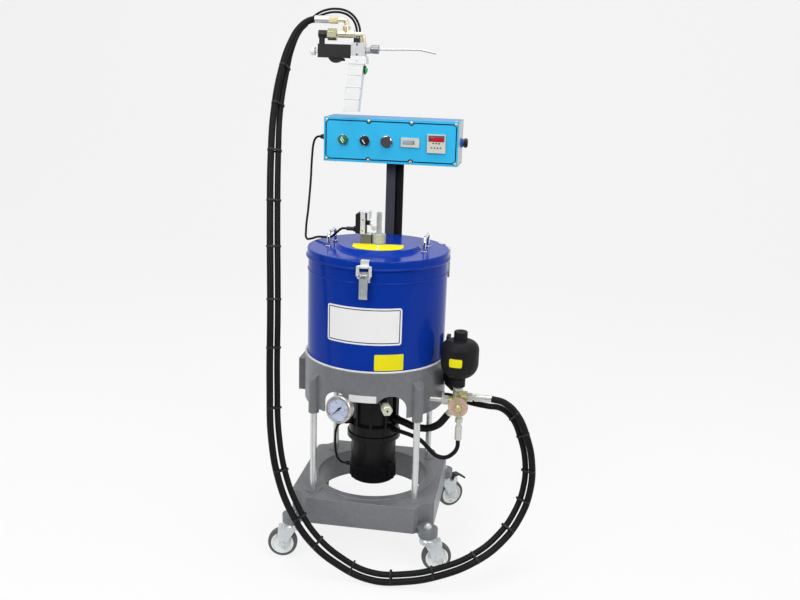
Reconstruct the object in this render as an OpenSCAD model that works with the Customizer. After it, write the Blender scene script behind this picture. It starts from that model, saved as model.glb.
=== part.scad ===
// Mobile electric grease pump: cast base on four casters, drum in a cast collar on posts,
// motor pump below, control box on a mast, accumulator valve group and a dispensing gun on a hose.

/* [Casters] */
// Outer diameter of each wheel
wheel_d = 76; // [60:1:90]
// Tread width of each wheel
wheel_w = 22; // [16:1:28]
// Diameter of the wheel axle
axle_d = 8; // [6:0.5:10]
// Offset of the axle from the swivel axis
trail = 24; // [18:1:34]
// Distance between swivel axes along one side
caster_pitch = 354; // [340:1:370]
// Diameter of the swivel head
head_d = 42; // [36:1:48]
// Height of the swivel head
head_h = 17; // [12:1:24]
// Room between the tread and the top of the fork crown
crown_gap = 4.5; // [4:0.5:8]
// Thickness of the fork sheet
fork_t = 3; // [2:0.5:4]
// Diameter of the caster stem
stem_d = 12; // [10:1:16]
// Width of the brake pedal
pedal_w = 22; // [16:1:26]
// Reach of the brake pedal beyond its pin
pedal_l = 36; // [28:1:44]

/* [Base frame] */
// Width of the square base
base_w = 372; // [360:1:400]
// Height of the base walls
base_h = 70; // [50:1:90]
// Wall thickness of the base casting
base_wall = 8; // [6:0.5:12]
// Length cut off each corner of the base along a side
corner_cut = 46; // [36:1:52]
// Diameter of the opening under the motor
opening_d = 294; // [260:1:300]
// Diameter of the caster feet
foot_d = 50; // [44:1:56]
// Height of the caster feet
foot_h = 20; // [14:1:28]
// How far the feet reach below the walls
foot_drop = 4; // [2:1:10]
// Height of the raised pad around the opening
pad_rise = 2; // [1:0.5:4]
// Width of the raised pad around the opening
pad_rim = 20; // [12:1:24]

/* [Posts] */
// Diameter of the posts
post_d = 16.5; // [12:0.5:20]
// Distance between post axes along one side
post_pitch = 266; // [256:1:270]
// Free length of a post between base and collar
post_free = 214; // [180:1:260]
// Depth of a post in its sockets
post_seat = 40; // [20:1:50]

/* [Collar] */
// Outside diameter of the collar
collar_d = 369; // [366:1:376]
// Height from the boss undersides to the rim
collar_h = 134; // [125:1:160]
// Wall thickness below the floor
collar_wall = 8; // [6:0.5:12]
// Diameter of the post bosses
boss_d = 27; // [24:1:32]
// Height of the post bosses at the wall
boss_h = 104; // [80:1:115]
// Slope of the boss tops
boss_slope = 42; // [20:1:60]
// How far the skirt stops above the boss undersides
skirt_lift = 12; // [6:1:24]
// Height of the floor underside above the boss undersides
floor_lift = 80; // [78:1:95]
// Thickness of the floor that carries the drum
floor_t = 12; // [8:1:18]
// Width of the mounting pads
side_pad_w = 60; // [40:1:80]
// Height of the mounting pads
side_pad_h = 86; // [60:1:95]
// How far the mounting pads stand out from the wall
side_pad_t = 15; // [8:1:24]
// Diameter of the two arches at the front
arch_d = 74; // [72:1:80]
// Height of the arch centres above the boss undersides
arch_lift = 36; // [30:1:42]
// Height of the web between the arches above the boss undersides
web_lift = 56; // [50:1:64]

/* [Drum] */
// Outside diameter of the drum
drum_d = 356; // [340:1:358]
// Height of the drum
drum_h = 316; // [280:1:360]
// Wall thickness of the drum
drum_wall = 2; // [1.5:0.5:3]
// Distance of the swaged ring below the drum mouth
ring_drop = 53; // [44:1:70]
// Thickness of the swaged ring
ring_t = 5; // [3:0.5:7]
// Diameter of the outlet in the drum bottom
outlet_d = 60; // [40:1:80]

/* [Lid] */
// Sheet thickness of the lid
lid_t = 2; // [1.5:0.5:3]
// Height of the lid skirt
lid_skirt = 24; // [20:1:30]
// Thickness of the rolled bead at the skirt edge
bead_t = 7; // [5:0.5:8]
// Diameter of the raised plateau at its top
plateau_d = 204; // [160:1:210]
// Height of the raised plateau
plateau_h = 9; // [5:0.5:12]
// Slope width at the plateau edge
plateau_slope = 8; // [5:1:12]
// Distance of each lid handle from the lid centre
handle_x = 122; // [120:1:140]
// Distance between the legs of a handle
handle_w = 74; // [60:1:90]
// Height of the handles
handle_h = 40; // [32:1:55]
// Rod diameter of the handles
handle_d = 8; // [6:0.5:10]
// Corner radius of the handles
handle_r = 14; // [10:1:16]

/* [Latches] */
// Width of the latch levers
lever_w = 20; // [16:1:24]
// Length of a lever below its pin
lever_l = 54; // [40:1:60]
// Throw of the bail pin about the lever pin
latch_throw = 7; // [5:0.5:8]
// Wire diameter of the bails
bail_d = 3; // [2.5:0.5:3.5]
// Diameter of the bail barrels
barrel_d = 8; // [6:0.5:8.5]
// Diameter of the lever pins
latch_pin_d = 4; // [3:0.5:4]
// Sheet thickness of latch plates and hooks
latch_t = 2; // [1.5:0.5:2.5]
// Distance of the lever pins from the drum wall
latch_off = 13; // [12:0.5:15]
// Distance of the lever pins below the lid bead
latch_drop = 8; // [6:1:14]

/* [Follower] */
// Diameter of the follower rod
rod_d = 14; // [10:0.5:18]
// Length of the rod above the follower plate
rod_l = 340; // [330:1:380]
// Height of the follower plate above the drum bottom at rest
follower_lift = 50; // [48:1:80]
// Thickness of the follower plate
follower_t = 15; // [10:1:20]
// Radial gap between the follower and the drum wall
follower_gap = 0.6; // [0.4:0.1:2]
// Outside diameter of the rod sleeve
sleeve_d = 35; // [30:1:44]
// Height of the rod sleeve
sleeve_h = 24; // [18:1:34]

/* [Limit switch] */
// Width of the switch body
switch_w = 25; // [20:1:30]
// Depth of the switch body
switch_depth = 28; // [22:1:34]
// Height of the switch body
switch_h = 54; // [46:1:62]
// Diameter of the lever roller
roller_d = 12; // [8:1:14]
// Gap between roller and rod
roller_gap = 1; // [0.6:0.2:3]

/* [Pump and motor] */
// Diameter of the motor body
motor_d = 120; // [100:1:130]
// Length of the motor body
motor_l = 82; // [70:1:84]
// Diameter of the motor end cap
cap_d = 126; // [106:1:134]
// Length of the motor end cap
cap_l = 42; // [30:1:44]
// Diameter of the flange between motor and pump
flange_d = 142; // [120:1:150]
// Thickness of the flange
flange_t = 14; // [10:1:18]
// Diameter of the pump housing
pump_d = 118; // [100:1:130]
// Number of ribs on the pump housing
pump_ribs = 10; // [6:1:14]
// Number of ribs on the motor end cap
cap_ribs = 20; // [12:1:28]

/* [Gauge and relief valve] */
// Bezel diameter of the pressure gauge
gauge_d = 70; // [60:1:71]
// Depth of the gauge case
gauge_depth = 30; // [24:1:36]
// Distance of the gauge face from the drum axis
gauge_reach = 205; // [200:1:220]
// Turn of the gauge axis from the front, positive to the right
gauge_turn = -16; // [-20:1:-12]
// Tilt of the gauge face upward
gauge_tilt = 6; // [0:1:10]
// Diameter of the connecting pipes
pipe_d = 13; // [10:0.5:16]
// Width across flats of the relief valve
relief_af = 24; // [20:1:30]
// Distance of the relief valve end from the drum axis
relief_reach = 205; // [195:1:225]
// Turn of the relief valve axis from the front
relief_turn = 19; // [16:1:24]

/* [Accumulator group] */
// Diameter of the accumulator
acc_d = 95; // [80:1:100]
// Height of the accumulator body
acc_h = 98; // [90:1:120]
// Corner radius at the top of the accumulator
acc_top_r = 24; // [16:1:30]
// Corner radius at the bottom of the accumulator
acc_low_r = 40; // [34:1:44]
// Diameter of the necks
neck_d = 34; // [28:1:40]
// Height of the top cap
acc_cap_h = 22; // [18:1:32]
// Height of the lower neck
neck_h = 22; // [14:1:30]
// Valve block size left to right
block_w = 47; // [44:1:60]
// Valve block size front to back
block_depth = 44; // [40:1:56]
// Height of the valve block
block_h = 56; // [52:1:70]
// Diameter of the shut-off disc
disc_d = 50; // [40:1:60]
// Length of the shut-off bar
bar_l = 58; // [44:1:66]
// Place of the block centre to the right of the drum axis
block_x = 228; // [222:1:240]
// Place of the block centre in front of the drum axis
block_y = -90; // [-96:1:-84]
// Diameter of the hose ferrules
ferrule_d = 18; // [16:0.5:22]
// Length of the hose ferrules
ferrule_l = 34; // [26:1:40]

/* [Mast and control box] */
// Side of the square mast tube
mast_w = 25; // [20:1:30]
// Wall of the mast tube
mast_wall = 2; // [1.5:0.5:3]
// Place of the mast left of the drum axis
mast_x = -7; // [-12:1:-4]
// Free height from the collar rim to the control box
mast_rise = 472; // [420:1:520]
// Diameter of the cable conduit on the mast
conduit_d = 21; // [16:1:24]
// Width of the control box
box_w = 357; // [340:1:400]
// Height of the control box
box_h = 115; // [105:1:140]
// Depth of the control box
box_d = 121; // [100:1:140]
// Sheet thickness of the control box
box_t = 2; // [1.5:0.5:3]
// Distance from the mast axis to the front of the box
box_front = 75.6; // [70:0.2:80]
// Diameter of the selector bezels
bezel_d = 29; // [27:0.5:32]
// Diameter of the selector knobs
knob_d = 23; // [20:0.5:25]
// Diameter of the buzzer
buzzer_d = 32; // [28:1:36]
// Side of the timer
timer_w = 48; // [44:1:52]
// Height of the counter
counter_h = 24; // [22:1:30]

/* [Gun] */
// Place of the gun's valve joint face left of the drum axis
gun_x = -106; // [-112:1:-100]
// Place of the gun behind the drum axis
gun_y = 130; // [126:1:134]
// Height of the grip above the control box
gun_lift = 16; // [12:1:24]
// Length of the grip
grip_l = 121; // [110:1:130]
// Width of the grip
grip_w = 39; // [34:1:42]
// Depth of the grip
grip_depth = 30; // [26:1:34]
// Lean of the grip over its length
grip_lean = 12; // [4:1:18]
// Length of the gun's valve body
valve_l = 87; // [86:1:94]
// Height of the gun's valve body
valve_h = 34; // [30:1:36]
// Depth of the gun's valve body
valve_depth = 26; // [22:1:30]
// Length of the gun block
gun_block_l = 36; // [32:1:40]
// Diameter of the nozzle tube
nozzle_d = 5; // [3:0.5:6]
// Straight length of the nozzle
nozzle_l = 107; // [80:1:120]
// Length of the bent nozzle tip
tip_l = 41; // [30:1:50]
// Bend of the nozzle tip
tip_bend = 13; // [5:1:25]
// Diameter of the adjusting knob
adjuster_d = 21; // [16:1:26]

/* [Hoses] */
// Outside diameter of the grease hose
hose_d = 17; // [15:0.5:17]
// Outside diameter of the cable sleeve
sleeve_tube_d = 15; // [12:0.5:15]
// Outside diameter of the suction hose
suction_d = 19; // [16:0.5:19]
// Outside diameter of the pressure hose from pump to block
pressure_d = 11; // [9:0.5:12]
// Outside diameter of the electric leads
lead_d = 6; // [4:0.5:6]

/* [Hidden] */
$fn = 64;

// Fits: radial gap of pins and shafts, gap between moving faces, gap between seated faces
pin_fit = 0.05;
run_gap = 0.3;
seat_gap = 0.1;
// Length that carries a cut clear through a piece
through = 1;

// Heights, built up from the floor
axle_z = wheel_d / 2;
crown_z = wheel_d + crown_gap;
foot_z = crown_z + head_h;
wall_z = foot_z + foot_drop;
base_top = wall_z + base_h;
boss_z = base_top + post_free;
skirt_z = boss_z + skirt_lift;
floor_z = boss_z + floor_lift;
floor_top = floor_z + floor_t;
rim_z = boss_z + collar_h;
drum_z = floor_top + seat_gap;
drum_top = drum_z + drum_h;
lid_top = drum_top + seat_gap + lid_t;
plateau_z = lid_top + plateau_h;
skirt_low = lid_top - lid_skirt;
box_z = rim_z + mast_rise;
box_mid = box_z + box_h / 2;
gun_z = box_z + box_h + gun_lift + grip_l;

// Casters: side signs and trailing directions, front left, front right, rear left, rear right
caster_side = [[-1, -1], [1, -1], [-1, 1], [1, 1]];
caster_turn = [188, 18, 125, 35];
leg_gap = 2;
leg_y = wheel_w / 2 + leg_gap;
leg_r = 11;
stem_nut_af = 18;
stem_nut_h = 8;
hub_r = 11;
web_t = 8;
rim_r = wheel_d / 2 - 9;
tread_round = 14;
pedal_pin_d = 5;
pedal_x = trail + 8;
pedal_eye_r = 5.5;
pedal_z = crown_z + pedal_eye_r + 1;
pedal_t = 4;
pedal_rise = 9;

// Base and collar
pocket_d = foot_d + 6;
foot_web_w = foot_d - 14;
socket_d = 40;
post_r = post_pitch / 2 * sqrt(2);
pad_z = skirt_z + 7;
arch_left = -63;
arch_right = 70;
pump_port_d = 104;
rim_round = 2;

// Lid and latches
lid_r = drum_d / 2 + 0.5 + lid_t;
lid_edge = 3;
bead_r = lid_r + bead_t / 2;
rod_hole_d = rod_d + 6;
flange_ring_d = 14;
flange_ring_t = 3;
latch_angles = [-90, 30, 150];
latch_r = drum_d / 2 + latch_off;
latch_z = skirt_low - latch_drop;
bail_z = latch_z - latch_throw;
hook_z = lid_top - 11;
bail_top = hook_z + run_gap + bail_d / 2;
hook_w = 20;
hook_lip = 1;
hook_reach = 5.8;
ear_t = 2;
ear_in = lever_w / 2 - latch_t - 0.5 - ear_t;
barrel_y = lever_w / 2 + 1 + barrel_d / 2;
barrel_l = 24;
bail_bend = 3;
plate_w = 26;

// Follower, sleeve and switch
follower_z = drum_z + drum_wall + follower_lift;
rod_z = follower_z + follower_t;
sleeve_z = plateau_z + seat_gap;
foot_block_w = 27;
foot_block_h = 24;
bracket_t = 2.5;
switch_x = -sleeve_d / 2 - seat_gap - 16 - switch_w;
switch_z = sleeve_z + foot_block_h + seat_gap;
lever_pin_d = 3;
lever_pin_x = switch_x + switch_w + 6;
lever_pin_z = switch_z + 27;
roller_x = -rod_d / 2 - roller_gap - roller_d / 2;
roller_z = switch_z + 13;
switch_gland_z = switch_z + 9;

// Pump and motor
pump_lift = 126;
pump_z = base_top + pump_lift;
flange_z = pump_z - flange_t;
motor_z = flange_z - motor_l;
cap_z = motor_z - cap_l + 3;
pump_rib_w = 6;
rib_turn = 20;
pump_foot_h = 33;
pump_head_h = 14;
gauge_z = boss_z + 37;
relief_z = boss_z + 43;
bezel_t = 7;
dial_depth = 5;
gauge_drop = 2.5;

// Accumulator group
block_z = boss_z + 17;
block_top = block_z + block_h;
nipple_h = 14;
acc_z = block_top + nipple_h + neck_h;
port_z = block_z + 42;
wall_port_z = block_z + 29;
drop_x = block_x + 6;
spindle_x = block_x + 4;
valve_barrel_d = 26;
hexagon_af = 28;
hexagon_turn = 18;
hexagon_in = 8.5;
suction_turn = 37;
suction_boss = 8;
disc_t = 2.5;
disc_gap = 5;
hub_d = 17;
bar_w = 6;
spindle_d = 9;
bonnet_af = 19;
disc_z = block_z + 23;
disc_y = block_y - block_depth / 2 - disc_gap;
adapter_af = 20;
adapter_l = 29;
drop_adapter_l = 42;
strap_w = 30;
strap_t = 10;
strap_h = 121;
strap_lift = 68;
arm_w = 12;
arm_root = 3;
gusset_h = 34;
clamp_lift = 4;
clamp_h = 10;
clamp_bore = neck_d - 8;

// Mast and box
mast_y = collar_d / 2 + side_pad_t + seat_gap + mast_w / 2;
mast_low = pad_z - 2;
mast_plate = 4;
box_y = mast_y - box_front;
conduit_x = mast_x + mast_w / 2 + seat_gap + conduit_d / 2;
conduit_bend = 42;
conduit_boss = 6;
conduit_low = pump_z + 48;
panel_y = box_y - box_t;
power_x = -126;
mode_x = -68;
buzzer_x = -10;
counter_x = 52.5;
timer_x = 121.5;
knob_h = 9;
bezel_h = 5;
meter_proud = 5;
gland_y = mast_y - 18;
gland_z = box_mid;

// Gun
plate_h = 19;
plate_w_gun = 55;
grip_x = gun_x + 14;
valve_z = gun_z + plate_h - 6;
gun_axis_z = valve_z + 19;
adjuster_z = gun_axis_z - 4;
nozzle_z = gun_axis_z + 5;
nozzle_rise = 1.3;
elbow_x = gun_x - 79;
elbow_end = gun_x - 63;
neck_l = 9.4;
bulge_d = 41;
bulge_lift = 8;
bulge_x = gun_x - 41;
stub_d = 6;
grip_left = gun_x - 14;
groove_w = 2;
groove_depth = 1.2;
grip_rows = 4;
dome_out = 5;
block_x1 = gun_x + gun_block_l;
tee_z = gun_axis_z + 41;
tee_x = gun_x - 15;
inlet_z = tee_z + 34;
elbow_r = 9;
tee_d = 20;
button_h = 18;
button_w = 14;
button_x = grip_x + grip_w / 2 + 1;
button_z = gun_z - 15;
button_out = 6;
nozzle_nut_l = 20;
nozzle_hex_l = 14;

// Hose and lead routes, from the fitting at one end to the fitting at the other
hose_route = [
  [312.5, -90, 444.5], [346, -92, 438], [380, -98, 410], [406, -106, 360], [424, -114, 292],
  [424, -126, 222], [404, -148, 158], [362, -190, 106], [300, -236, 70], [222, -266, 42],
  [135, -276, 20], [50, -276, 14], [-35, -272, 44], [-107, -268, 98], [-158, -262, 172],
  [-191, -252, 248], [-214, -234, 344], [-226, -206, 470], [-236, -165, 660], [-254, -105, 868],
  [-267, -52, 1022], [-274, -2, 1124], [-270, 50, 1222], [-256, 86, 1290], [-236, 114, 1332],
  [-217, 127, 1347], [-203.5, 130, 1350.5]];
sleeve_route = [
  [188.3, -24, 418.5], [202, -24.5, 418.5], [224, -32, 416.5], [260, -50, 415], [304, -72, 418],
  [338, -78, 417],
  [366, -84, 397], [390, -94, 352], [407, -102, 288], [407, -114, 226], [390, -135, 168],
  [353, -175, 119], [296, -223, 84], [220, -259, 59], [135, -271, 38], [48, -270, 32],
  [-23, -265, 58], [-92, -259, 110], [-142, -252, 182], [-175, -241, 256], [-198, -222, 350],
  [-211, -193, 475], [-221, -152, 666], [-239, -92, 874], [-252, -39, 1029], [-262, 14, 1126],
  [-262, 67, 1215], [-256, 103, 1281], [-242, 129, 1324], [-230, 140, 1339]];
switch_route = [
  [-202, 194, 1049], [-209, 194, 1048.5], [-216, 193, 1043], [-220, 190, 1031], [-222, 183, 1000],
  [-221, 164, 930], [-220, 136, 860], [-217, 102, 808], [-209, 78, 790], [-193, 62, 793],
  [-173, 51, 801], [-150, 36, 805], [-128, 16, 811], [-110, 4, 826], [-96, 0, 837], [-84.5, 0, 838]];
gun_lead_a = [
  [-226, 138, 1344], [-211, 141, 1352], [-194, 145, 1360], [-175, 146.5, 1367], [-154, 147, 1370],
  [-132, 147, 1367.5], [-117, 146.5, 1360.5], [-106, 146, 1349.5], [-99.5, 145.5, 1336],
  [-97, 145, 1322], [-97.5, 144.5, 1308.5]];
gun_lead_b = [
  [-228, 145, 1344], [-213, 147, 1356], [-196, 148, 1368], [-173, 149, 1376], [-152, 149, 1378],
  [-132, 149, 1375.5], [-115, 149, 1368], [-101, 148, 1355], [-92.5, 147, 1339.5],
  [-89, 146, 1323.5], [-90.5, 144.5, 1308.5]];
pressure_route = [
  [234, -90, 324], [233, -90, 306], [222, -88, 286], [200, -85, 272], [176, -80, 275],
  [156, -75, 291], [136, -68, 306], [110, -60, 314], [85, -49, 316], [69, -40, 316]];
suction_route = [
  [205.6, -90, 393.7], [201.5, -89.6, 388.3], [194, -88, 377], [184, -84, 363.5],
  [171, -80, 353], [157, -74, 345], [140, -66, 339.5], [113, -56, 338.5], [88, -46.5, 343.5],
  [71, -37.5, 345]];
motor_route = [
  [-73.5, -2, 191.5], [-83, -3, 192.5], [-93, -8, 202], [-98, -17, 222], [-99, -29, 252],
  [-97, -40, 284], [-93, -47.5, 308], [-85, -48.5, 322], [-71, -41, 327]];

// A bored ring standing on z = 0
module ring(d_out, d_in, h) {
  difference() {
    cylinder(d = d_out, h = h);
    translate([0, 0, -through]) cylinder(d = d_in, h = h + 2 * through);
  }
}

// A hexagonal bar of a width across flats
module hex_bar(af, h) {
  cylinder(d = af / cos(30), h = h, $fn = 6);
}

// Turns what stands along Z to lie along +X or to the front
module along_x() { rotate([0, 90, 0]) children(); }
module along_front() { rotate([90, 0, 0]) children(); }

// Sweep of a round cord along its route
function unit(v) = v / norm(v);
function route_dir(p, i) = unit(p[min(i + 1, len(p) - 1)] - p[max(i - 1, 0)]);
function flatten_on(v, t) = unit(v - (v * t) * t);
function route_normals(p, i, n) =
  let (m = flatten_on(n, route_dir(p, i)))
  i == len(p) - 1 ? [m] : concat([m], route_normals(p, i + 1, m));

module cord(route, d, sides) {
  normals = route_normals(route, 0, flatten_on([0.3, 0.9, 0.2], route_dir(route, 0)));
  last = len(route) - 1;
  rings = [
    for (i = [0 : last])
      for (k = [0 : sides - 1])
        let (a = 360 * k / sides, n = normals[i], b = cross(route_dir(route, i), n))
          route[i] + d / 2 * (cos(a) * n + sin(a) * b)];
  walls = [
    for (i = [0 : last - 1])
      for (k = [0 : sides - 1])
        let (j = (k + 1) % sides)
          [i * sides + k, (i + 1) * sides + k, (i + 1) * sides + j, i * sides + j]];
  first_cap = [for (k = [0 : sides - 1]) k];
  last_cap = [for (k = [sides - 1 : -1 : 0]) last * sides + k];
  polyhedron(points = rings, faces = concat(walls, [first_cap, last_cap]), convexity = 6);
}

// Base frame and posts
module at_corners(pitch) {
  for (s = caster_side) translate([s[0] * pitch / 2, s[1] * pitch / 2, 0]) children();
}

module octagon(w, cut) {
  difference() {
    square(w, center = true);
    for (a = [0 : 90 : 270])
      rotate(a) polygon([[w / 2 - cut, w / 2], [w / 2, w / 2], [w / 2, w / 2 - cut]]);
  }
}

module base_channel() {
  inner_cut = corner_cut - base_wall * (2 - sqrt(2));
  difference() {
    octagon(base_w - 2 * base_wall, inner_cut);
    circle(d = opening_d + 2 * base_wall);
    at_corners(post_pitch) circle(d = socket_d);
    at_corners(caster_pitch) circle(d = pocket_d + 2 * base_wall);
  }
}

module base_frame() color([0.42, 0.43, 0.46]) difference() {
  union() {
    translate([0, 0, wall_z]) linear_extrude(base_h) octagon(base_w, corner_cut);
    translate([0, 0, base_top]) linear_extrude(pad_rise) intersection() {
      octagon(base_w - 2 * base_wall, corner_cut);
      union() {
        circle(d = opening_d + 2 * pad_rim);
        at_corners(post_pitch) circle(d = socket_d + 4);
      }
    }
    for (a = [45 : 90 : 315]) rotate(a) translate([caster_pitch / sqrt(2), 0, foot_z]) {
      cylinder(d = foot_d, h = foot_h);
      translate([-foot_d, -foot_web_w / 2, 0]) cube([foot_d, foot_web_w, foot_h]);
    }
  }
  translate([0, 0, foot_z - through]) cylinder(d = opening_d, h = base_h + foot_h, $fn = 128);
  at_corners(caster_pitch) {
    translate([0, 0, foot_z + foot_h]) cylinder(d = pocket_d, h = base_h);
    translate([0, 0, foot_z - through]) cylinder(d = stem_d + 2 * pin_fit, h = foot_h + 2 * through);
  }
  at_corners(post_pitch)
    translate([0, 0, base_top - post_seat]) cylinder(d = post_d + 2 * pin_fit, h = post_seat + pad_rise + through);
  translate([0, 0, foot_z - through]) linear_extrude(base_top - base_wall - foot_z + through) base_channel();
}

module support_posts() color("lightgray")
  at_corners(post_pitch)
    translate([0, 0, base_top - post_seat]) cylinder(d = post_d, h = post_free + 2 * post_seat);

// Collar
module post_boss() {
  difference() {
    translate([post_r, 0, boss_z]) cylinder(d = boss_d, h = boss_h);
    translate([collar_d / 2 - 2, 0, boss_z + boss_h]) rotate([0, boss_slope, 0])
      translate([-boss_d, -boss_d, 0]) cube([3 * boss_d, 2 * boss_d, boss_h]);
  }
}

module collar() color([0.43, 0.45, 0.47]) difference() {
  union() {
    translate([0, 0, skirt_z]) rotate_extrude($fn = 128) polygon([
      [0, 0], [collar_d / 2, 0], [collar_d / 2, rim_z - skirt_z - rim_round],
      [collar_d / 2 - rim_round, rim_z - skirt_z], [0, rim_z - skirt_z]]);
    for (a = [45 : 90 : 315]) rotate(a) post_boss();
    for (a = [90, 180])
      rotate(a) translate([0, -side_pad_w / 2, pad_z])
        cube([collar_d / 2 + side_pad_t, side_pad_w, side_pad_h]);
  }
  translate([0, 0, floor_top]) cylinder(d = drum_d + 2 * seat_gap, h = collar_h, $fn = 128);
  translate([0, 0, boss_z - through]) cylinder(d = collar_d - 2 * collar_wall, h = floor_lift + through, $fn = 128);
  translate([0, 0, floor_z - through]) cylinder(d = outlet_d, h = floor_t + 2 * through);
  at_corners(post_pitch)
    translate([0, 0, boss_z - through]) cylinder(d = post_d + 2 * pin_fit, h = post_seat + through);
  for (x = [arch_left, arch_right])
    translate([x, 0, boss_z + arch_lift]) along_front() cylinder(d = arch_d, h = collar_d);
  translate([arch_left - arch_d / 2, -collar_d, boss_z - through])
    cube([arch_right - arch_left + arch_d, collar_d, arch_lift + through]);
  translate([arch_left, -collar_d, boss_z - through])
    cube([arch_right - arch_left, collar_d, web_lift + through]);
  rotate(gauge_turn) translate([0, 0, gauge_z - gauge_drop]) along_front() cylinder(d = gauge_d - 2, h = collar_d);
}

// Drum, lid and what stands on the lid
module drum() color([0.08, 0.16, 0.55]) translate([0, 0, drum_z]) difference() {
  rotate_extrude($fn = 128) difference() {
    union() {
      square([drum_d / 2, drum_h]);
      translate([drum_d / 2 - 0.5, drum_h - ring_drop]) circle(d = ring_t);
    }
    translate([0, drum_wall]) square([drum_d / 2 - drum_wall, drum_h]);
  }
  translate([0, 0, -through]) cylinder(d = outlet_d, h = drum_wall + 2 * through);
}

module lid_section() {
  low = plateau_d / 2 + plateau_slope;
  bevel = lid_t * 0.6;
  polygon([
    [rod_hole_d / 2, plateau_z], [plateau_d / 2, plateau_z], [low, lid_top],
    [lid_r - lid_edge, lid_top], [lid_r - lid_edge * 0.3, lid_top - lid_edge * 0.3],
    [lid_r, lid_top - lid_edge], [lid_r, skirt_low], [lid_r - lid_t, skirt_low],
    [lid_r - lid_t, lid_top - lid_t], [low - bevel, lid_top - lid_t],
    [plateau_d / 2 - bevel, plateau_z - lid_t], [rod_hole_d / 2, plateau_z - lid_t]]);
}

module lid_bead() {
  difference() {
    translate([0, 0, skirt_low + bead_t / 2]) rotate_extrude($fn = 128) translate([lid_r, 0]) circle(d = bead_t);
    translate([0, 0, skirt_low - through]) cylinder(r = lid_r - lid_t / 2, h = bead_t + 2 * through, $fn = 128);
  }
}

module lid() color([0.1, 0.2, 0.62]) difference() {
  union() {
    rotate_extrude($fn = 128) lid_section();
    lid_bead();
  }
  for (x = [-1, 1], y = [-1, 1])
    translate([x * handle_x, y * handle_w / 2, lid_top - lid_t - through])
      cylinder(d = handle_d + 2 * pin_fit, h = lid_t + 2 * through);
}

module lid_handle() {
  top = lid_top + handle_h - handle_d / 2;
  for (s = [-1, 1]) translate([0, s * handle_w / 2, 0]) {
    translate([0, 0, lid_top - lid_t - 6]) cylinder(d = handle_d, h = top - handle_r - lid_top + lid_t + 6);
    translate([0, 0, lid_top]) cylinder(d = flange_ring_d, h = flange_ring_t);
    translate([0, 0, lid_top - lid_t - 5.5]) hex_bar(13, 5.5);
  }
  for (a = [0, 180]) rotate(a)
    translate([0, handle_w / 2 - handle_r, top - handle_r]) rotate([90, 0, 90])
      rotate_extrude(angle = 90) translate([handle_r, 0]) circle(d = handle_d);
  translate([0, handle_w / 2 - handle_r, top]) rotate([90, 0, 0])
    cylinder(d = handle_d, h = handle_w - 2 * handle_r);
}

module lid_handles() color("gainsboro")
  for (x = [-1, 1]) translate([x * handle_x, 0, 0]) lid_handle();

module rod_sleeve() color("silver")
  translate([0, 0, sleeve_z]) ring(sleeve_d, rod_d + 2 * pin_fit, sleeve_h);

module follower() color("gray") {
  translate([0, 0, follower_z])
    cylinder(d = drum_d - 2 * drum_wall - 2 * follower_gap, h = follower_t, $fn = 128);
  translate([0, 0, rod_z]) cylinder(d1 = 3 * rod_d, d2 = 2 * rod_d, h = 12);
  translate([0, 0, rod_z]) cylinder(d = rod_d, h = rod_l);
}

// Limit switch beside the rod
module limit_switch() color([0.08, 0.08, 0.09]) {
  difference() {
    translate([switch_x, -switch_depth / 2, switch_z]) cube([switch_w, switch_depth, switch_h]);
    translate([switch_x - through, -switch_depth / 2 - through, switch_z + switch_h - 4])
      rotate([0, 45, 0]) translate([-4, 0, 0]) cube([8, switch_depth + 2 * through, 8]);
  }
  for (s = [-1, 1])
    translate([switch_x + switch_w - through, s * 5 - 1.5, lever_pin_z - 5]) cube([11, 3, 10]);
  translate([lever_pin_x, 0, lever_pin_z]) along_front() translate([0, 0, -6.5]) cylinder(d = lever_pin_d, h = 13);
  translate([switch_x - 7, 0, switch_gland_z]) along_x() hex_bar(13, 8);
  translate([-84, 0, switch_gland_z]) along_x() cylinder(d = 10, h = switch_x + 84);
}

module switch_bracket() color("darkgray") {
  foot_x = -sleeve_d / 2 - seat_gap - foot_block_w;
  translate([foot_x, -switch_depth / 2 - bracket_t, sleeve_z])
    cube([foot_block_w, switch_depth + bracket_t, foot_block_h]);
  translate([switch_x + 11, -switch_depth / 2 - bracket_t, sleeve_z + foot_block_h])
    cube([14, bracket_t - seat_gap, switch_h + 2 * seat_gap + bracket_t]);
  translate([switch_x + 11, -switch_depth / 2 - bracket_t, switch_z + switch_h + seat_gap])
    cube([25, switch_depth, bracket_t]);
  translate([switch_x + 34, -switch_depth / 2 - bracket_t, switch_z + switch_h - 16])
    cube([2, switch_depth, 17 + bracket_t]);
}

module switch_lever() color("goldenrod") {
  lever = [roller_x - lever_pin_x, roller_z - lever_pin_z];
  tilt = atan2(lever[1], lever[0]);
  translate([lever_pin_x, 0, lever_pin_z]) rotate([90, 0, 0]) translate([0, 0, -2.5]) difference() {
    union() {
      cylinder(d = 8, h = 5);
      rotate(tilt) translate([0, -2, 1]) cube([norm(lever), 4, 3]);
      translate([lever[0], lever[1], 0]) cylinder(d = roller_d, h = 5);
    }
    translate([0, 0, -through]) cylinder(d = lever_pin_d + 2 * pin_fit, h = 5 + 2 * through);
  }
}

// Lid latches: each in a frame with X outward from the drum axis
module at_latch(i) { rotate(latch_angles[i]) children(); }

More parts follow.
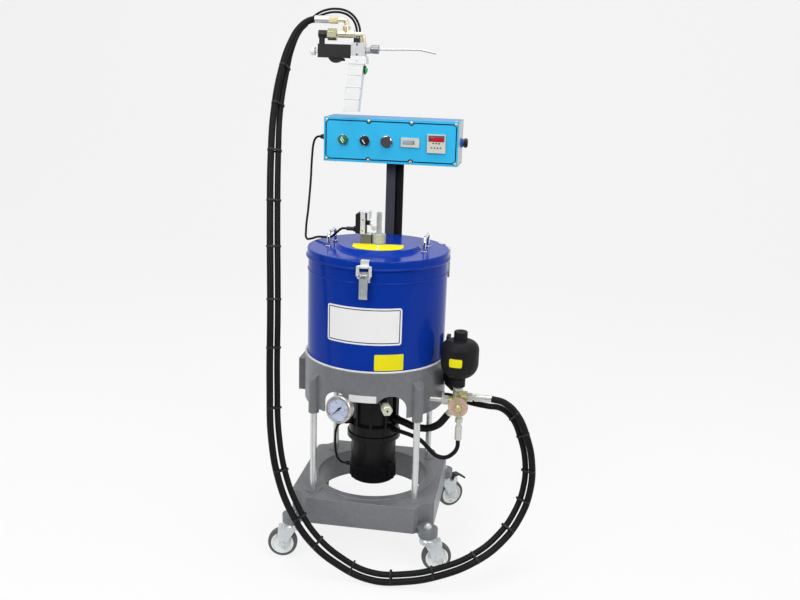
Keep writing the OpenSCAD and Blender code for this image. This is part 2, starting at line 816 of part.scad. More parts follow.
module latch_hook() {
  lip_r = latch_r + hook_reach;
  translate([lid_r - 12, -hook_w / 2, lid_top + seat_gap]) cube([14 + seat_gap, hook_w, latch_t]);
  translate([lid_r + seat_gap, -hook_w / 2, hook_z - latch_t]) cube([latch_t, hook_w, lid_top - hook_z + 2 * latch_t]);
  translate([lid_r + seat_gap, -hook_w / 2, hook_z - latch_t]) cube([lip_r - lid_r + latch_t, hook_w, latch_t]);
  translate([lip_r + seat_gap, -hook_w / 2, hook_z - latch_t]) cube([latch_t, hook_w, latch_t + hook_lip]);
}

module latch_plate() {
  plate_z = drum_top - ring_drop + ring_t / 2 + 1;
  plate_h = latch_z + 6 - plate_z;
  half = asin(plate_w / 2 / (drum_d / 2));
  rotate(-half) translate([0, 0, plate_z]) rotate_extrude(angle = 2 * half, $fn = 128)
    translate([drum_d / 2 + seat_gap, 0]) square([latch_t, plate_h]);
  for (s = [-1, 1]) translate([0, s * (ear_in + ear_t / 2) - ear_t / 2, 0])
    translate([0, ear_t, 0]) rotate([90, 0, 0]) linear_extrude(ear_t) {
      polygon([
        [drum_d / 2 + latch_t, plate_z + 2], [latch_r + 2, latch_z - 5],
        [latch_r, latch_z + 5], [drum_d / 2 + latch_t, latch_z + 5]]);
      translate([latch_r, latch_z]) circle(d = 10);
    }
  translate([latch_r, 0, latch_z]) along_front() translate([0, 0, -lever_w / 2 - 0.5])
    cylinder(d = latch_pin_d, h = lever_w + 1);
}

module latch_fixings() color("silver")
  for (i = [0 : 2]) at_latch(i) {
    latch_hook();
    latch_plate();
  }

module latch_lever(i) color("gainsboro") at_latch(i) difference() {
  union() {
    for (s = [-1, 1]) translate([0, s * (lever_w / 2 - latch_t / 2) + latch_t / 2, 0])
      rotate([90, 0, 0]) linear_extrude(latch_t) {
        translate([latch_r, latch_z]) circle(d = 11);
        polygon([
          [latch_r - 5.5, latch_z], [latch_r - 4, bail_z - 5], [latch_r + 3, latch_z - lever_l * 0.7],
          [latch_r + 6, latch_z - lever_l * 0.7], [latch_r + 6, latch_z + 3], [latch_r + 4, latch_z + 3.7]]);
      }
    translate([latch_r + 6 - latch_t, -lever_w / 2, latch_z - lever_l]) cube([latch_t, lever_w, lever_l - 7]);
    translate([latch_r + 6 - latch_t, -lever_w / 2, latch_z - lever_l]) rotate([0, 20, 0])
      translate([0, 0, -3]) cube([latch_t, lever_w, 5]);
  }
  translate([latch_r, 0, latch_z]) along_front() translate([0, 0, -lever_w])
    cylinder(d = latch_pin_d + 2 * pin_fit, h = 2 * lever_w);
  translate([latch_r, 0, bail_z]) along_front() translate([0, 0, -lever_w])
    cylinder(d = bail_d + 2 * pin_fit, h = 2 * lever_w);
}

module latch_bail(i) color("whitesmoke") at_latch(i) translate([latch_r, 0, 0])
  for (a = [0, 180]) rotate(a) {
    corner_y = barrel_y - bail_bend;
    translate([0, barrel_y, bail_z + bail_bend]) cylinder(d = bail_d, h = bail_top - bail_z - 2 * bail_bend);
    translate([0, barrel_y, bail_z + 5]) cylinder(d = barrel_d, h = barrel_l);
    translate([0, corner_y, bail_top - bail_bend]) bail_corner(0);
    translate([0, corner_y, bail_z + bail_bend]) bail_corner(-90);
    translate([0, corner_y, bail_top]) along_front() cylinder(d = bail_d, h = corner_y);
    translate([0, corner_y, bail_z]) along_front() cylinder(d = bail_d, h = corner_y - lever_w / 2 + latch_t);
  }

module bail_corner(turn) {
  rotate([90, 0, 90]) rotate(turn) rotate_extrude(angle = 90) translate([bail_bend, 0]) circle(d = bail_d);
}

// Motor and pump under the collar
module motor_body() color([0.05, 0.05, 0.06]) {
  translate([0, 0, flange_z]) cylinder(d = flange_d, h = flange_t - seat_gap, $fn = 96);
  translate([0, 0, motor_z]) cylinder(d = motor_d, h = motor_l + through, $fn = 96);
  translate([0, 0, cap_z]) rotate_extrude($fn = 96)
    polygon([[0, 0], [cap_d / 2 - 8, 0], [cap_d / 2 - 2.5, 4], [cap_d / 2 - 2.5, cap_l], [0, cap_l]]);
  translate([0, 0, motor_z - 2]) cylinder(d = cap_d, h = 6, $fn = 96);
  for (k = [0 : cap_ribs - 1]) rotate(360 * k / cap_ribs)
    translate([cap_d / 2 - 5, -3, cap_z + 5]) cube([4.6, 6, cap_l - 7]);
  rotate(-30) translate([motor_d / 2 - 6, 0, motor_z + 8]) along_x() cylinder(d = 24, h = 14);
  translate([-73, -2, motor_z - 10]) along_x() cylinder(d = 12, h = 20);
}

module pump_housing() color([0.06, 0.06, 0.07]) {
  top = floor_z - seat_gap - pump_z;
  translate([0, 0, pump_z]) rotate_extrude($fn = 96) polygon([
    [0, 0], [pump_d / 2 + 8, 0], [pump_d / 2 + 8, pump_foot_h - 8], [pump_d / 2, pump_foot_h],
    [pump_d / 2, top - pump_head_h - 8], [pump_d / 2 + 12, top - pump_head_h],
    [pump_d / 2 + 12, top], [0, top]]);
  translate([0, 0, pump_z + top - through]) cylinder(d = outlet_d - 2 * seat_gap, h = floor_t + drum_wall + through);
  for (k = [0 : pump_ribs - 1]) rotate(360 * k / pump_ribs + rib_turn)
    translate([pump_d / 2 - 4, -pump_rib_w / 2, pump_z + 4]) cube([11, pump_rib_w, top - 8]);
  pump_port(suction_route[len(suction_route) - 1], suction_d + 4);
  pump_port(pressure_route[len(pressure_route) - 1], pressure_d + 4);
  pump_port(motor_route[len(motor_route) - 1], lead_d + 5);
  translate([conduit_x, 0, conduit_low]) rotate([-90, 0, 0])
    cylinder(d = conduit_d + 5, h = pump_d / 2 + conduit_boss - seat_gap);
}

// A boss on the pump that a hose or lead ends on
module pump_port(end, d) {
  reach = norm([end[0], end[1]]);
  rotate(atan2(end[1], end[0])) translate([pump_d / 2 - 10, 0, end[2]]) along_x()
    cylinder(d = d, h = reach - pump_d / 2 + 10 - seat_gap);
}

// Pressure gauge with its back pipe, facing front left
module at_gauge() {
  rotate([0, 0, gauge_turn]) translate([0, -gauge_reach, gauge_z]) rotate([90 - gauge_tilt, 0, 0]) children();
}

module gauge_case() color([0.75, 0.76, 0.77]) {
  at_gauge() rotate_extrude($fn = 96) polygon([
    [0, -gauge_depth], [gauge_d / 2 - 6, -gauge_depth], [gauge_d / 2 - 3, -gauge_depth + 4],
    [gauge_d / 2 - 3, -bezel_t], [gauge_d / 2, -bezel_t], [gauge_d / 2, -2],
    [gauge_d / 2 - 2, 0], [gauge_d / 2 - 4, 0], [gauge_d / 2 - 5, -dial_depth], [0, -dial_depth]]);
  at_gauge() translate([0, 0, -dial_depth - through]) cylinder(d = 2, h = dial_depth - 1 + through);
  at_gauge() translate([0, 0, -gauge_depth - 16]) hex_bar(19, 17);
  rotate([0, 0, gauge_turn]) translate([0, -gauge_reach, gauge_z]) rotate([90, 0, 0])
    translate([0, -gauge_drop, pump_d / 2 + seat_gap - gauge_reach])
      cylinder(d = pipe_d, h = gauge_reach - pump_d / 2 - gauge_depth - 5);
}

module gauge_pointer() color("black")
  at_gauge() translate([0, 0, -dial_depth + 1.6]) difference() {
    linear_extrude(0.8) {
      circle(d = 7);
      rotate(225) polygon([[-10, -2.2], [0, -1.6], [24, -0.3], [24, 0.3], [0, 1.6], [-10, 2.2]]);
    }
    translate([0, 0, -through]) cylinder(d = 2 + 2 * pin_fit, h = 1 + 2 * through);
  }

module relief_valve() color("darkkhaki")
  rotate([0, 0, relief_turn]) translate([0, 0, relief_z]) along_front() difference() {
    union() {
      translate([0, 0, pump_d / 2 + seat_gap]) cylinder(d = pipe_d, h = relief_reach - pump_d / 2 - 10);
      translate([0, 0, relief_reach - 62]) cylinder(d = relief_af - 2, h = 24);
      translate([0, 0, relief_reach - 38]) cylinder(d = relief_af - 8, h = 12);
      translate([0, 0, relief_reach - 30]) hex_bar(relief_af - 2, 12);
      translate([0, 0, relief_reach - 17]) hex_bar(relief_af, 15);
      translate([0, 0, relief_reach - 2]) cylinder(d1 = relief_af, d2 = relief_af - 4, h = 2);
    }
    translate([0, 0, relief_reach - 20]) cylinder(d = 6, h = 22);
  }

// Accumulator and its valve group on the right
module accumulator() color([0.1, 0.1, 0.11]) translate([block_x, block_y, acc_z]) {
  r = acc_d / 2;
  rotate_extrude($fn = 96) intersection() {
    union() {
      translate([0, acc_low_r]) square([r, acc_h - acc_low_r - acc_top_r]);
      translate([r - acc_low_r, acc_low_r]) circle(r = acc_low_r);
      square([r - acc_low_r, acc_low_r]);
      translate([r - acc_top_r, acc_h - acc_top_r]) circle(r = acc_top_r);
      translate([0, acc_h - acc_top_r]) square([r - acc_top_r, acc_top_r]);
    }
    square([r, acc_h]);
  }
  translate([0, 0, acc_h - through]) cylinder(d = neck_d, h = acc_cap_h);
  translate([0, 0, acc_h + acc_cap_h - through - 1]) difference() {
    cylinder(d1 = neck_d, d2 = neck_d - 3, h = 3);
    translate([0, 0, 1]) hex_bar(10, 3);
  }
  translate([0, 0, -neck_h]) cylinder(d = neck_d, h = clamp_lift);
  translate([0, 0, -neck_h]) cylinder(d = clamp_bore, h = neck_h);
  translate([0, 0, clamp_lift + clamp_h + 2 * seat_gap - neck_h])
    cylinder(d = neck_d, h = neck_h - clamp_lift - clamp_h + 4);
}

module accumulator_bracket() color([0.1, 0.1, 0.11]) {
  strap_x = collar_d / 2 + seat_gap;
  arm_z = acc_z - neck_h + clamp_lift + seat_gap;
  arm = [block_x - strap_x - strap_t / 2, block_y];
  reach = norm(arm) - neck_d / 2;
  translate([strap_x, -strap_w / 2, boss_z + strap_lift]) cube([strap_t, strap_w, strap_h]);
  difference() {
    union() {
      translate([strap_x + strap_t / 2, 0, arm_z]) rotate(atan2(arm[1], arm[0])) {
        translate([arm_root, -arm_w / 2, 0]) cube([reach + 4 - arm_root, arm_w, clamp_h]);
        translate([arm_root, arm_w / 2, 0]) rotate([90, 0, 0]) linear_extrude(arm_w)
          polygon([[0, clamp_h], [0, -gusset_h], [reach - 20, -gusset_h + 4], [reach - 14, clamp_h]]);
      }
      translate([block_x, block_y, arm_z]) cylinder(d = neck_d, h = clamp_h);
    }
    translate([block_x, block_y, arm_z - through])
      cylinder(d = clamp_bore + 2 * seat_gap, h = clamp_h + 2 * through);
  }
}

// Forged valve body: upright barrel, hexagon to the hose, arms to the pipe, spindle and hoses
module valve_block() color("darkkhaki") difference() {
  union() {
    translate([block_x, block_y, block_z + 8]) rotate(110) cylinder(d = valve_barrel_d, h = block_h - 8);
    translate([block_x + hexagon_in, block_y, port_z]) rotate([hexagon_turn, 0, 0]) along_x()
      hex_bar(hexagon_af, block_w / 2 - hexagon_in);
    translate([block_x - block_w / 2, block_y, wall_port_z]) along_x() rotate(50)
      cylinder(d = valve_barrel_d - 4, h = block_w / 2);
    translate([drop_x, block_y, block_z]) rotate(40) cylinder(d = valve_barrel_d - 2.5, h = block_h / 2);
    translate([spindle_x, block_y, disc_z]) along_front() rotate(25) cylinder(d = valve_barrel_d - 1, h = block_depth / 2);
    translate([spindle_x, block_y - block_depth / 2 + through, disc_z]) along_front()
      hex_bar(bonnet_af, through + disc_gap - run_gap);
    at_suction() translate([0, 0, -6]) rotate(75) cylinder(d = suction_d - 1, h = 6 + suction_boss);
  }
  translate([spindle_x, block_y - block_depth / 2 + 12, disc_z]) along_front()
    cylinder(d = spindle_d + 2 * pin_fit, h = 12 + disc_gap + through);
}

// Slanted suction port at the foot of the valve body
module at_suction() {
  translate([block_x - 9, block_y, block_z + 9]) rotate([0, 180 + suction_turn, 0]) children();
}

module shutoff_wheel() color("rosybrown") translate([spindle_x, disc_y, disc_z]) along_front() {
  cylinder(d = disc_d, h = disc_t);
  translate([0, 0, -disc_gap - 8]) cylinder(d = spindle_d, h = disc_gap + 8 + through);
  translate([0, 0, disc_t - through]) cylinder(d = hub_d, h = 9);
  translate([0, 0, disc_t + 7]) cylinder(d1 = hub_d, d2 = hub_d - 6, h = 4);
  rotate(12) translate([-bar_w / 2, -bar_l / 2, disc_t]) cube([bar_w, bar_l, 4]);
}

module hose_fittings() color("silver") {
  wall_port = sqrt(pow(collar_d / 2, 2) - pow(block_y, 2));
  // accumulator nipple
  translate([block_x, block_y, block_top]) {
    cylinder(d = 16, h = nipple_h);
    translate([0, 0, 2]) hex_bar(22, 8);
  }
  // support pipe between collar and block
  translate([wall_port - 3, block_y, wall_port_z]) along_x()
    cylinder(d = pipe_d, h = block_x - block_w / 2 - wall_port - 1);
  translate([block_x - block_w / 2 - 16, block_y, wall_port_z]) along_x() hex_bar(22, 16);
  // grease hose adapter and ferrule
  translate([block_x + block_w / 2, block_y, port_z]) along_x() {
    hex_bar(adapter_af, 14);
    cylinder(d = adapter_af - 6, h = adapter_l);
    translate([0, 0, adapter_l - 10]) hex_bar(adapter_af - 2, 8);
    translate([0, 0, adapter_l - 2]) cylinder(d = ferrule_d, h = ferrule_l - 0.5);
  }
  // pressure hose adapter and ferrule
  translate([drop_x, block_y, block_z]) rotate([180, 0, 0]) {
    hex_bar(adapter_af - 2, 10);
    cylinder(d = adapter_af - 8, h = drop_adapter_l);
    translate([0, 0, 16]) hex_bar(adapter_af - 3, 12);
    translate([0, 0, drop_adapter_l - 4]) cylinder(d = ferrule_d, h = ferrule_l + 2);
  }
  // suction hose nipple
  at_suction() translate([0, 0, suction_boss]) {
    cylinder(d = suction_d - 5, h = 14);
    translate([0, 0, 6]) cylinder(d = suction_d - 1, h = 8);
  }
  // sleeve gland on the collar
  translate([collar_d / 2 - 6, -24, skirt_z + 21]) along_x() cylinder(d = sleeve_tube_d + 6, h = 9.5);
  // gun ferrule
  translate([gun_x - 59 - ferrule_l - 4, gun_y, inlet_z]) along_x() cylinder(d = ferrule_d + 1, h = ferrule_l + 4);
}

// Mast, conduit and control box
module mast() color([0.1, 0.1, 0.11]) translate([mast_x, mast_y, 0]) {
  difference() {
    translate([-mast_w / 2, -mast_w / 2, mast_low]) cube([mast_w, mast_w, box_z - mast_low]);
    translate([-mast_w / 2 + mast_wall, -mast_w / 2 + mast_wall, mast_low - through])
      cube([mast_w - 2 * mast_wall, mast_w - 2 * mast_wall, box_z - mast_low - mast_plate + through]);
  }
}

module conduit() color([0.07, 0.07, 0.07]) {
  translate([conduit_x, mast_y, conduit_low + conduit_bend])
    cylinder(d = conduit_d, h = box_z - conduit_low - conduit_bend);
  translate([conduit_x, mast_y - conduit_bend, conduit_low + conduit_bend]) rotate([0, 90, 0])
    rotate_extrude(angle = 90) translate([conduit_bend, 0]) circle(d = conduit_d);
  translate([conduit_x, mast_y - conduit_bend, conduit_low]) along_front()
    cylinder(d = conduit_d, h = mast_y - conduit_bend - pump_d / 2 - conduit_boss);
}

module control_case() color([0.75, 0.78, 0.8]) difference() {
  translate([-box_w / 2, box_y, box_z]) cube([box_w, box_d, box_h]);
  translate([-box_w / 2 + box_t, box_y - through, box_z + box_t])
    cube([box_w - 2 * box_t, box_d - box_t + through, box_h - 2 * box_t]);
}

module on_panel(x, z) { translate([x, panel_y, z]) along_front() children(); }

module front_panel() color([0.2, 0.62, 0.9]) difference() {
  translate([-box_w / 2, panel_y, box_z]) cube([box_w, box_t, box_h]);
  for (x = [power_x, mode_x]) on_panel(x, box_mid) translate([0, 0, -box_t - through])
    cylinder(d = knob_d - 1, h = box_t + 2 * through);
}

module panel_bezels() color("silver") {
  for (x = [power_x, mode_x]) on_panel(x, box_mid) difference() {
    cylinder(d1 = bezel_d, d2 = bezel_d - 2, h = bezel_h);
    translate([0, 0, 2]) cylinder(d = knob_d + 2 * run_gap, h = bezel_h);
    translate([0, 0, -through]) cylinder(d = 10 + 2 * pin_fit, h = bezel_h);
  }
  on_panel(buzzer_x, box_mid) {
    cylinder(d = buzzer_d, h = 4);
    cylinder(d1 = buzzer_d - 2, d2 = buzzer_d - 6, h = 9);
  }
}

module selector_knob(x) color([0.05, 0.3, 0.15]) on_panel(x, box_mid) {
  translate([0, 0, 2 + run_gap]) cylinder(d = knob_d, h = knob_h - 3);
  translate([0, 0, -box_t - 10]) cylinder(d = 10, h = 12 + box_t + run_gap + 1);
  rotate(-40) translate([-3, -knob_d / 2 + 1, knob_h - 1]) cube([6, knob_d - 2, 6]);
}

module panel_meters() color("beige") {
  on_panel(counter_x, box_mid) {
    translate([-timer_w / 2, -counter_h / 2, 0]) difference() {
      cube([timer_w, counter_h, meter_proud]);
      translate([4, 6, meter_proud - 1]) cube([timer_w - 16, counter_h - 12, 2]);
    }
  }
  on_panel(timer_x, box_mid) {
    translate([-timer_w / 2, -timer_w / 2, 0]) difference() {
      cube([timer_w, timer_w, meter_proud + 1]);
      translate([3, timer_w - 19, meter_proud]) cube([timer_w - 6, 16, 2]);
    }
  }
}

module box_glands() color([0.06, 0.06, 0.07]) {
  translate([-box_w / 2 - 10, gland_y, gland_z]) along_x() hex_bar(20, 10 - seat_gap);
  translate([-box_w / 2 - 23, gland_y, gland_z]) along_x() cylinder(d1 = 11, d2 = 17, h = 14);
  translate([box_w / 2 + seat_gap, gland_y, gland_z]) along_x() cylinder(d = 24, h = 6);
  translate([box_w / 2 + 5, gland_y, gland_z]) along_x() cylinder(d = 20, h = 14);
  translate([box_w / 2 + 10, gland_y, gland_z]) along_x() cylinder(d = 25, h = 7, $fn = 12);
}

// Dispensing gun
module gun_valve() color([0.07, 0.07, 0.08]) {
  rear = gun_x - valve_l;
  difference() {
    translate([rear, gun_y - valve_depth / 2, valve_z]) cube([valve_l, valve_depth, valve_h]);
    translate([rear - through, gun_y, adjuster_z]) along_x() cylinder(d = 5 + 2 * pin_fit, h = 16);
  }
  // solenoid connector elbow
  translate([elbow_x, gun_y, valve_z + valve_h - through]) cylinder(d = 15, h = tee_z - valve_z - valve_h + 4);
  translate([elbow_x - 8, gun_y, tee_z - 2]) along_x() cylinder(d = 20, h = elbow_end - elbow_x + 8);
  // lead bulge and stub below, cable connector above
  translate([bulge_x, gun_y, valve_z + bulge_lift]) along_front() translate([0, 0, -9]) cylinder(d = bulge_d, h = 18);
  translate([bulge_x, gun_y, valve_z - stub_d / 2 - 1.5]) along_x()
    cylinder(d = stub_d, h = grip_left - bulge_x - seat_gap);
  translate([gun_x + 3, gun_y + 4, valve_z + valve_h + 5 + seat_gap]) cube([16, 14, 12]);
}

module gun_block() color("silver")
  translate([gun_x + seat_gap, gun_y - 14, valve_z + 6]) cube([gun_block_l - seat_gap, 28, valve_h - 1]);

module gun_grip() color("white") difference() {
  union() {
    translate([grip_left, gun_y - 17, gun_z]) cube([plate_w_gun, 34, plate_h - 6]);
    translate([gun_x + seat_gap, gun_y - 17, gun_z]) cube([gun_block_l + 4, 34, plate_h - seat_gap]);
    translate([grip_x, gun_y + grip_depth / 2, gun_z]) rotate([90, 0, 0]) linear_extrude(grip_depth) polygon([
      [-grip_w / 2, 1], [grip_w / 2, 1], [grip_w / 2 - grip_lean, -grip_l], [-grip_w / 2 - grip_lean, -grip_l]]);
  }
  for (k = [1 : grip_rows - 1])
    translate([grip_x - grip_lean * k / grip_rows, gun_y, gun_z - grip_l * k / grip_rows]) grip_groove();
  translate([button_x - 14, gun_y, button_z]) along_x() cylinder(d = 8 + 2 * run_gap, h = 20);
}

// A shallow groove right round the grip
module grip_groove() {
  difference() {
    cube([2 * grip_w, 2 * grip_depth, groove_w], center = true);
    cube([grip_w - 2 * groove_depth, grip_depth - 2 * groove_depth, 2 * groove_w], center = true);
  }
}

module gun_trigger() color([0.1, 0.65, 0.25]) {
  dome_r = (button_h * button_h / 4 + dome_out * dome_out) / (2 * dome_out);
  translate([button_x + 3, gun_y, button_z]) along_x() intersection() {
    translate([0, 0, dome_out - dome_r]) sphere(r = dome_r);
    cylinder(d = 2 * button_h, h = 2 * dome_out);
  }
  translate([button_x - 9, gun_y, button_z]) along_x() cylinder(d = 8, h = 13);
}

module gun_adjuster() color("whitesmoke") translate([gun_x - valve_l, gun_y, adjuster_z]) rotate([0, -90, 0]) {
  translate([0, 0, -12]) cylinder(d = 5, h = 16);
  translate([0, 0, run_gap]) cylinder(d = 8, h = neck_l);
  translate([0, 0, neck_l]) cylinder(d = adjuster_d, h = 9);
  translate([0, 0, neck_l + 8.5]) cylinder(d1 = adjuster_d, d2 = adjuster_d - 5, h = 2.5);
}

module gun_fittings() color("goldenrod") {
  inlet_x = gun_x - 59 + seat_gap;
  // inlet hexagon and elbow
  translate([inlet_x, gun_y, inlet_z]) along_x() hex_bar(18, 22);
  translate([inlet_x + 20, gun_y, inlet_z]) along_x() cylinder(d = 13, h = tee_x - elbow_r - inlet_x - 20);
  translate([tee_x - elbow_r, gun_y, inlet_z - elbow_r]) rotate([90, 0, 0])
    rotate_extrude(angle = 90) translate([elbow_r, 0]) circle(d = 13);
  translate([tee_x, gun_y, tee_z]) cylinder(d = 13, h = inlet_z - elbow_r - tee_z);
  // tee
  translate([tee_x, gun_y, tee_z]) cylinder(d = tee_d, h = 18);
  translate([tee_x - 20, gun_y, tee_z]) along_x() cylinder(d = tee_d, h = 41);
  // union nut to the solenoid elbow
  translate([elbow_end + seat_gap, gun_y, tee_z - 2]) along_x() hex_bar(26, 23);
  translate([elbow_end + 20, gun_y, tee_z]) along_x() cylinder(d = 12, h = 12);
  // outlet elbow into the block
  translate([tee_x + 18, gun_y, tee_z]) along_x() cylinder(d = 11, h = 18);
  translate([tee_x + 36, gun_y, tee_z - elbow_r]) rotate([90, 0, 0])
    rotate_extrude(angle = 90) translate([elbow_r, 0]) circle(d = 11);
  translate([tee_x + 36 + elbow_r, gun_y, valve_z + valve_h + 5 + seat_gap])
    cylinder(d = 11, h = tee_z - elbow_r - valve_z - valve_h - 5 - seat_gap);
}

module gun_nozzle() color("lightsteelblue") translate([block_x1 + seat_gap, gun_y, nozzle_z]) {
  along_x() {
    hex_bar(19, nozzle_hex_l);
    translate([0, 0, nozzle_hex_l]) cylinder(d = 12, h = 2);
    translate([0, 0, nozzle_hex_l + 2]) cylinder(d = 22, h = nozzle_nut_l - 2);
  }
  translate([nozzle_hex_l + nozzle_nut_l - through, 0, 0]) rotate([0, -nozzle_rise, 0]) {
    along_x() cylinder(d = nozzle_d, h = nozzle_l + through);
    translate([nozzle_l + through, 0, 0]) {
      sphere(d = nozzle_d + 0.4);
      rotate([0, 90 + tip_bend, 0]) cylinder(d = nozzle_d, h = tip_l);
    }
  }
}

// Casters: each in a frame with Z on the swivel axis and X along its trail
module at_caster(i) {
  translate([caster_side[i][0] * caster_pitch / 2, caster_side[i][1] * caster_pitch / 2, 0])
    rotate(caster_turn[i]) children();
}

module fork() {
  head_top = foot_z - run_gap;
  stem_top = foot_z + foot_h + run_gap;
  translate([0, 0, crown_z - fork_t]) linear_extrude(fork_t) {
    circle(d = head_d);
    translate([-leg_r, -leg_y - fork_t]) square([trail + 2 * leg_r, 2 * (leg_y + fork_t)]);
  }
  rotate_extrude() polygon([
    [0, crown_z - 1], [head_d / 2, crown_z - 1], [head_d / 2, crown_z + head_h * 0.4],
    [head_d / 2 - 4, crown_z + head_h * 0.7], [head_d / 2 - 6, head_top], [0, head_top]]);
  for (s = [-1, 1]) translate([0, s * (leg_y + fork_t / 2) + fork_t / 2, 0]) rotate([90, 0, 0])
    linear_extrude(fork_t) {
      polygon([[-leg_r, crown_z], [trail + leg_r, crown_z], [trail + leg_r, axle_z], [trail - leg_r, axle_z]]);
      translate([trail, axle_z]) circle(r = leg_r);
    }
  translate([trail, leg_y + fork_t + 3, axle_z]) along_front() cylinder(d = axle_d, h = 2 * (leg_y + fork_t + 3));
  for (s = [-1, 1]) translate([trail, s * (leg_y + fork_t + 1.4) + 1.6, axle_z]) along_front() hex_bar(13, 3.2);
  translate([0, 0, crown_z]) cylinder(d = stem_d, h = stem_top - crown_z + stem_nut_h);
  translate([0, 0, stem_top]) hex_bar(stem_nut_af, stem_nut_h - 3);
}

module brake_ears() {
  for (s = [-1, 1]) translate([0, s * (leg_y + fork_t / 2) + fork_t / 2, 0]) rotate([90, 0, 0])
    linear_extrude(fork_t) {
      polygon([[pedal_x - 8, crown_z - 2], [pedal_x + 8, crown_z - 2], [pedal_x + 5, pedal_z], [pedal_x - 5, pedal_z]]);
      translate([pedal_x, pedal_z]) circle(r = pedal_eye_r);
    }
  translate([pedal_x, leg_y + fork_t, pedal_z]) along_front() cylinder(d = pedal_pin_d, h = 2 * (leg_y + fork_t));
}

module caster_fork(i) color("gainsboro") at_caster(i) {
  fork();
  if (i == 3) brake_ears();
}

module wheel_section() {
  bore_r = axle_d / 2 + pin_fit;
  translate([bore_r, -wheel_w / 2 - 1]) square([hub_r - bore_r, wheel_w + 2]);
  translate([hub_r - through, -web_t / 2]) square([rim_r - hub_r, web_t]);
  translate([rim_r - 4, -wheel_w / 2 + 2]) square([5, wheel_w - 4]);
  intersection() {
    translate([rim_r, -wheel_w / 2]) square([wheel_d / 2 - rim_r, wheel_w]);
    translate([wheel_d / 2 - tread_round, 0]) circle(r = tread_round);
  }
}

module caster_wheel(i) color("dimgray") at_caster(i) translate([trail, 0, axle_z]) along_front()
  rotate_extrude($fn = 96) wheel_section();

module brake_pedal() color([0.08, 0.08, 0.08]) at_caster(3) translate([pedal_x, 0, pedal_z])
  rotate([90, 0, 0]) translate([0, 0, -pedal_w / 2]) difference() {
    union() {
      cylinder(r = pedal_eye_r, h = pedal_w);
      linear_extrude(pedal_w) polygon([
        [-pedal_eye_r + 1, 0], [2, pedal_rise], [pedal_l * 0.45, pedal_rise], [pedal_l, -4],
        [pedal_l - 2, -8], [pedal_l - 6, -6], [pedal_l * 0.4, pedal_rise - pedal_t],
        [pedal_eye_r, pedal_rise - pedal_t], [pedal_eye_r - 1, 0]]);
    }
    translate([0, 0, -through]) cylinder(d = pedal_pin_d + 2 * pin_fit, h = pedal_w + 2 * through);
  }

// Hoses and leads
module grease_hose() color([0.06, 0.06, 0.06]) cord(hose_route, hose_d, 10);
module cable_sleeve() color([0.09, 0.09, 0.09]) cord(sleeve_route, sleeve_tube_d, 10);
module switch_cable() color([0.05, 0.05, 0.05]) cord(switch_route, lead_d, 8);
module gun_cables() color([0.05, 0.05, 0.05]) {
  cord(gun_lead_a, lead_d, 8);
  cord(gun_lead_b, lead_d, 8);
}
module pressure_hose() color([0.06, 0.06, 0.06]) cord(pressure_route, pressure_d, 10);
module suction_hose() color([0.06, 0.06, 0.06]) cord(suction_route, suction_d, 10);
module motor_cable() color([0.05, 0.05, 0.05]) cord(motor_route, lead_d, 8);

base_frame();
support_posts();
collar();
drum();
lid();
lid_handles();
rod_sleeve();
latch_fixings();
limit_switch();
switch_bracket();
pump_housing();
motor_body();
gauge_case();
relief_valve();
accumulator();
accumulator_bracket();
valve_block();
hose_fittings();
mast();
conduit();
control_case();
front_panel();
panel_bezels();
panel_meters();
box_glands();
gun_valve();
gun_block();
gun_grip();
gun_fittings();
gun_nozzle();
grease_hose();
cable_sleeve();
switch_cable();
gun_cables();
pressure_hose();
suction_hose();
motor_cable();
follower();
switch_lever();
latch_lever(0);  // latch_lever_front
latch_lever(1);  // latch_lever_right
latch_lever(2);  // latch_lever_left
latch_bail(0);  // latch_bail_front
latch_bail(1);  // latch_bail_right
latch_bail(2);  // latch_bail_left
selector_knob(power_x);  // selector_knob_power
selector_knob(mode_x);  // selector_knob_mode
gun_trigger();
gun_adjuster();
shutoff_wheel();
gauge_pointer();
caster_fork(0);  // caster_fork_fl
caster_fork(1);  // caster_fork_fr
caster_fork(2);  // caster_fork_rl
caster_fork(3);  // caster_fork_rr
caster_wheel(0);  // caster_wheel_fl
caster_wheel(1);  // caster_wheel_fr
caster_wheel(2);  // caster_wheel_rl
caster_wheel(3);  // caster_wheel_rr
brake_pedal();
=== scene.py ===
# Studio: a pale paper sweep under soft boxes, as for a catalogue picture.
# The camera stands a little right of the panel's middle, at the height of the control box, looking down.
import math

import bmesh
import bpy
from mathutils import Matrix, Vector


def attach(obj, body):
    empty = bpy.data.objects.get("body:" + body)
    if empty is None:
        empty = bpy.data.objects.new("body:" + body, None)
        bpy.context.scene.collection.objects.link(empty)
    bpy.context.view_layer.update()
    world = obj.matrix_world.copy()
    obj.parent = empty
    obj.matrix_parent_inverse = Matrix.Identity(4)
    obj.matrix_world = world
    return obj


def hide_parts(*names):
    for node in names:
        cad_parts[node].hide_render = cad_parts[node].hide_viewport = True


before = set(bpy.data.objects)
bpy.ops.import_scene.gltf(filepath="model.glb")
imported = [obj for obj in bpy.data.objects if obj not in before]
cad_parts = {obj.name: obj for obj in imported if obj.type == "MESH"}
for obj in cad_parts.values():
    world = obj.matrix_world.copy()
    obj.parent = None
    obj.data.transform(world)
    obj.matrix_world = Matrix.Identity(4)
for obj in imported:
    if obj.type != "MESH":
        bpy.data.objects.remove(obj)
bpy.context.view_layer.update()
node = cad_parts
scene = bpy.context.scene
scene.view_settings.view_transform = "Standard"
bpy.ops.object.select_all(action="DESELECT")

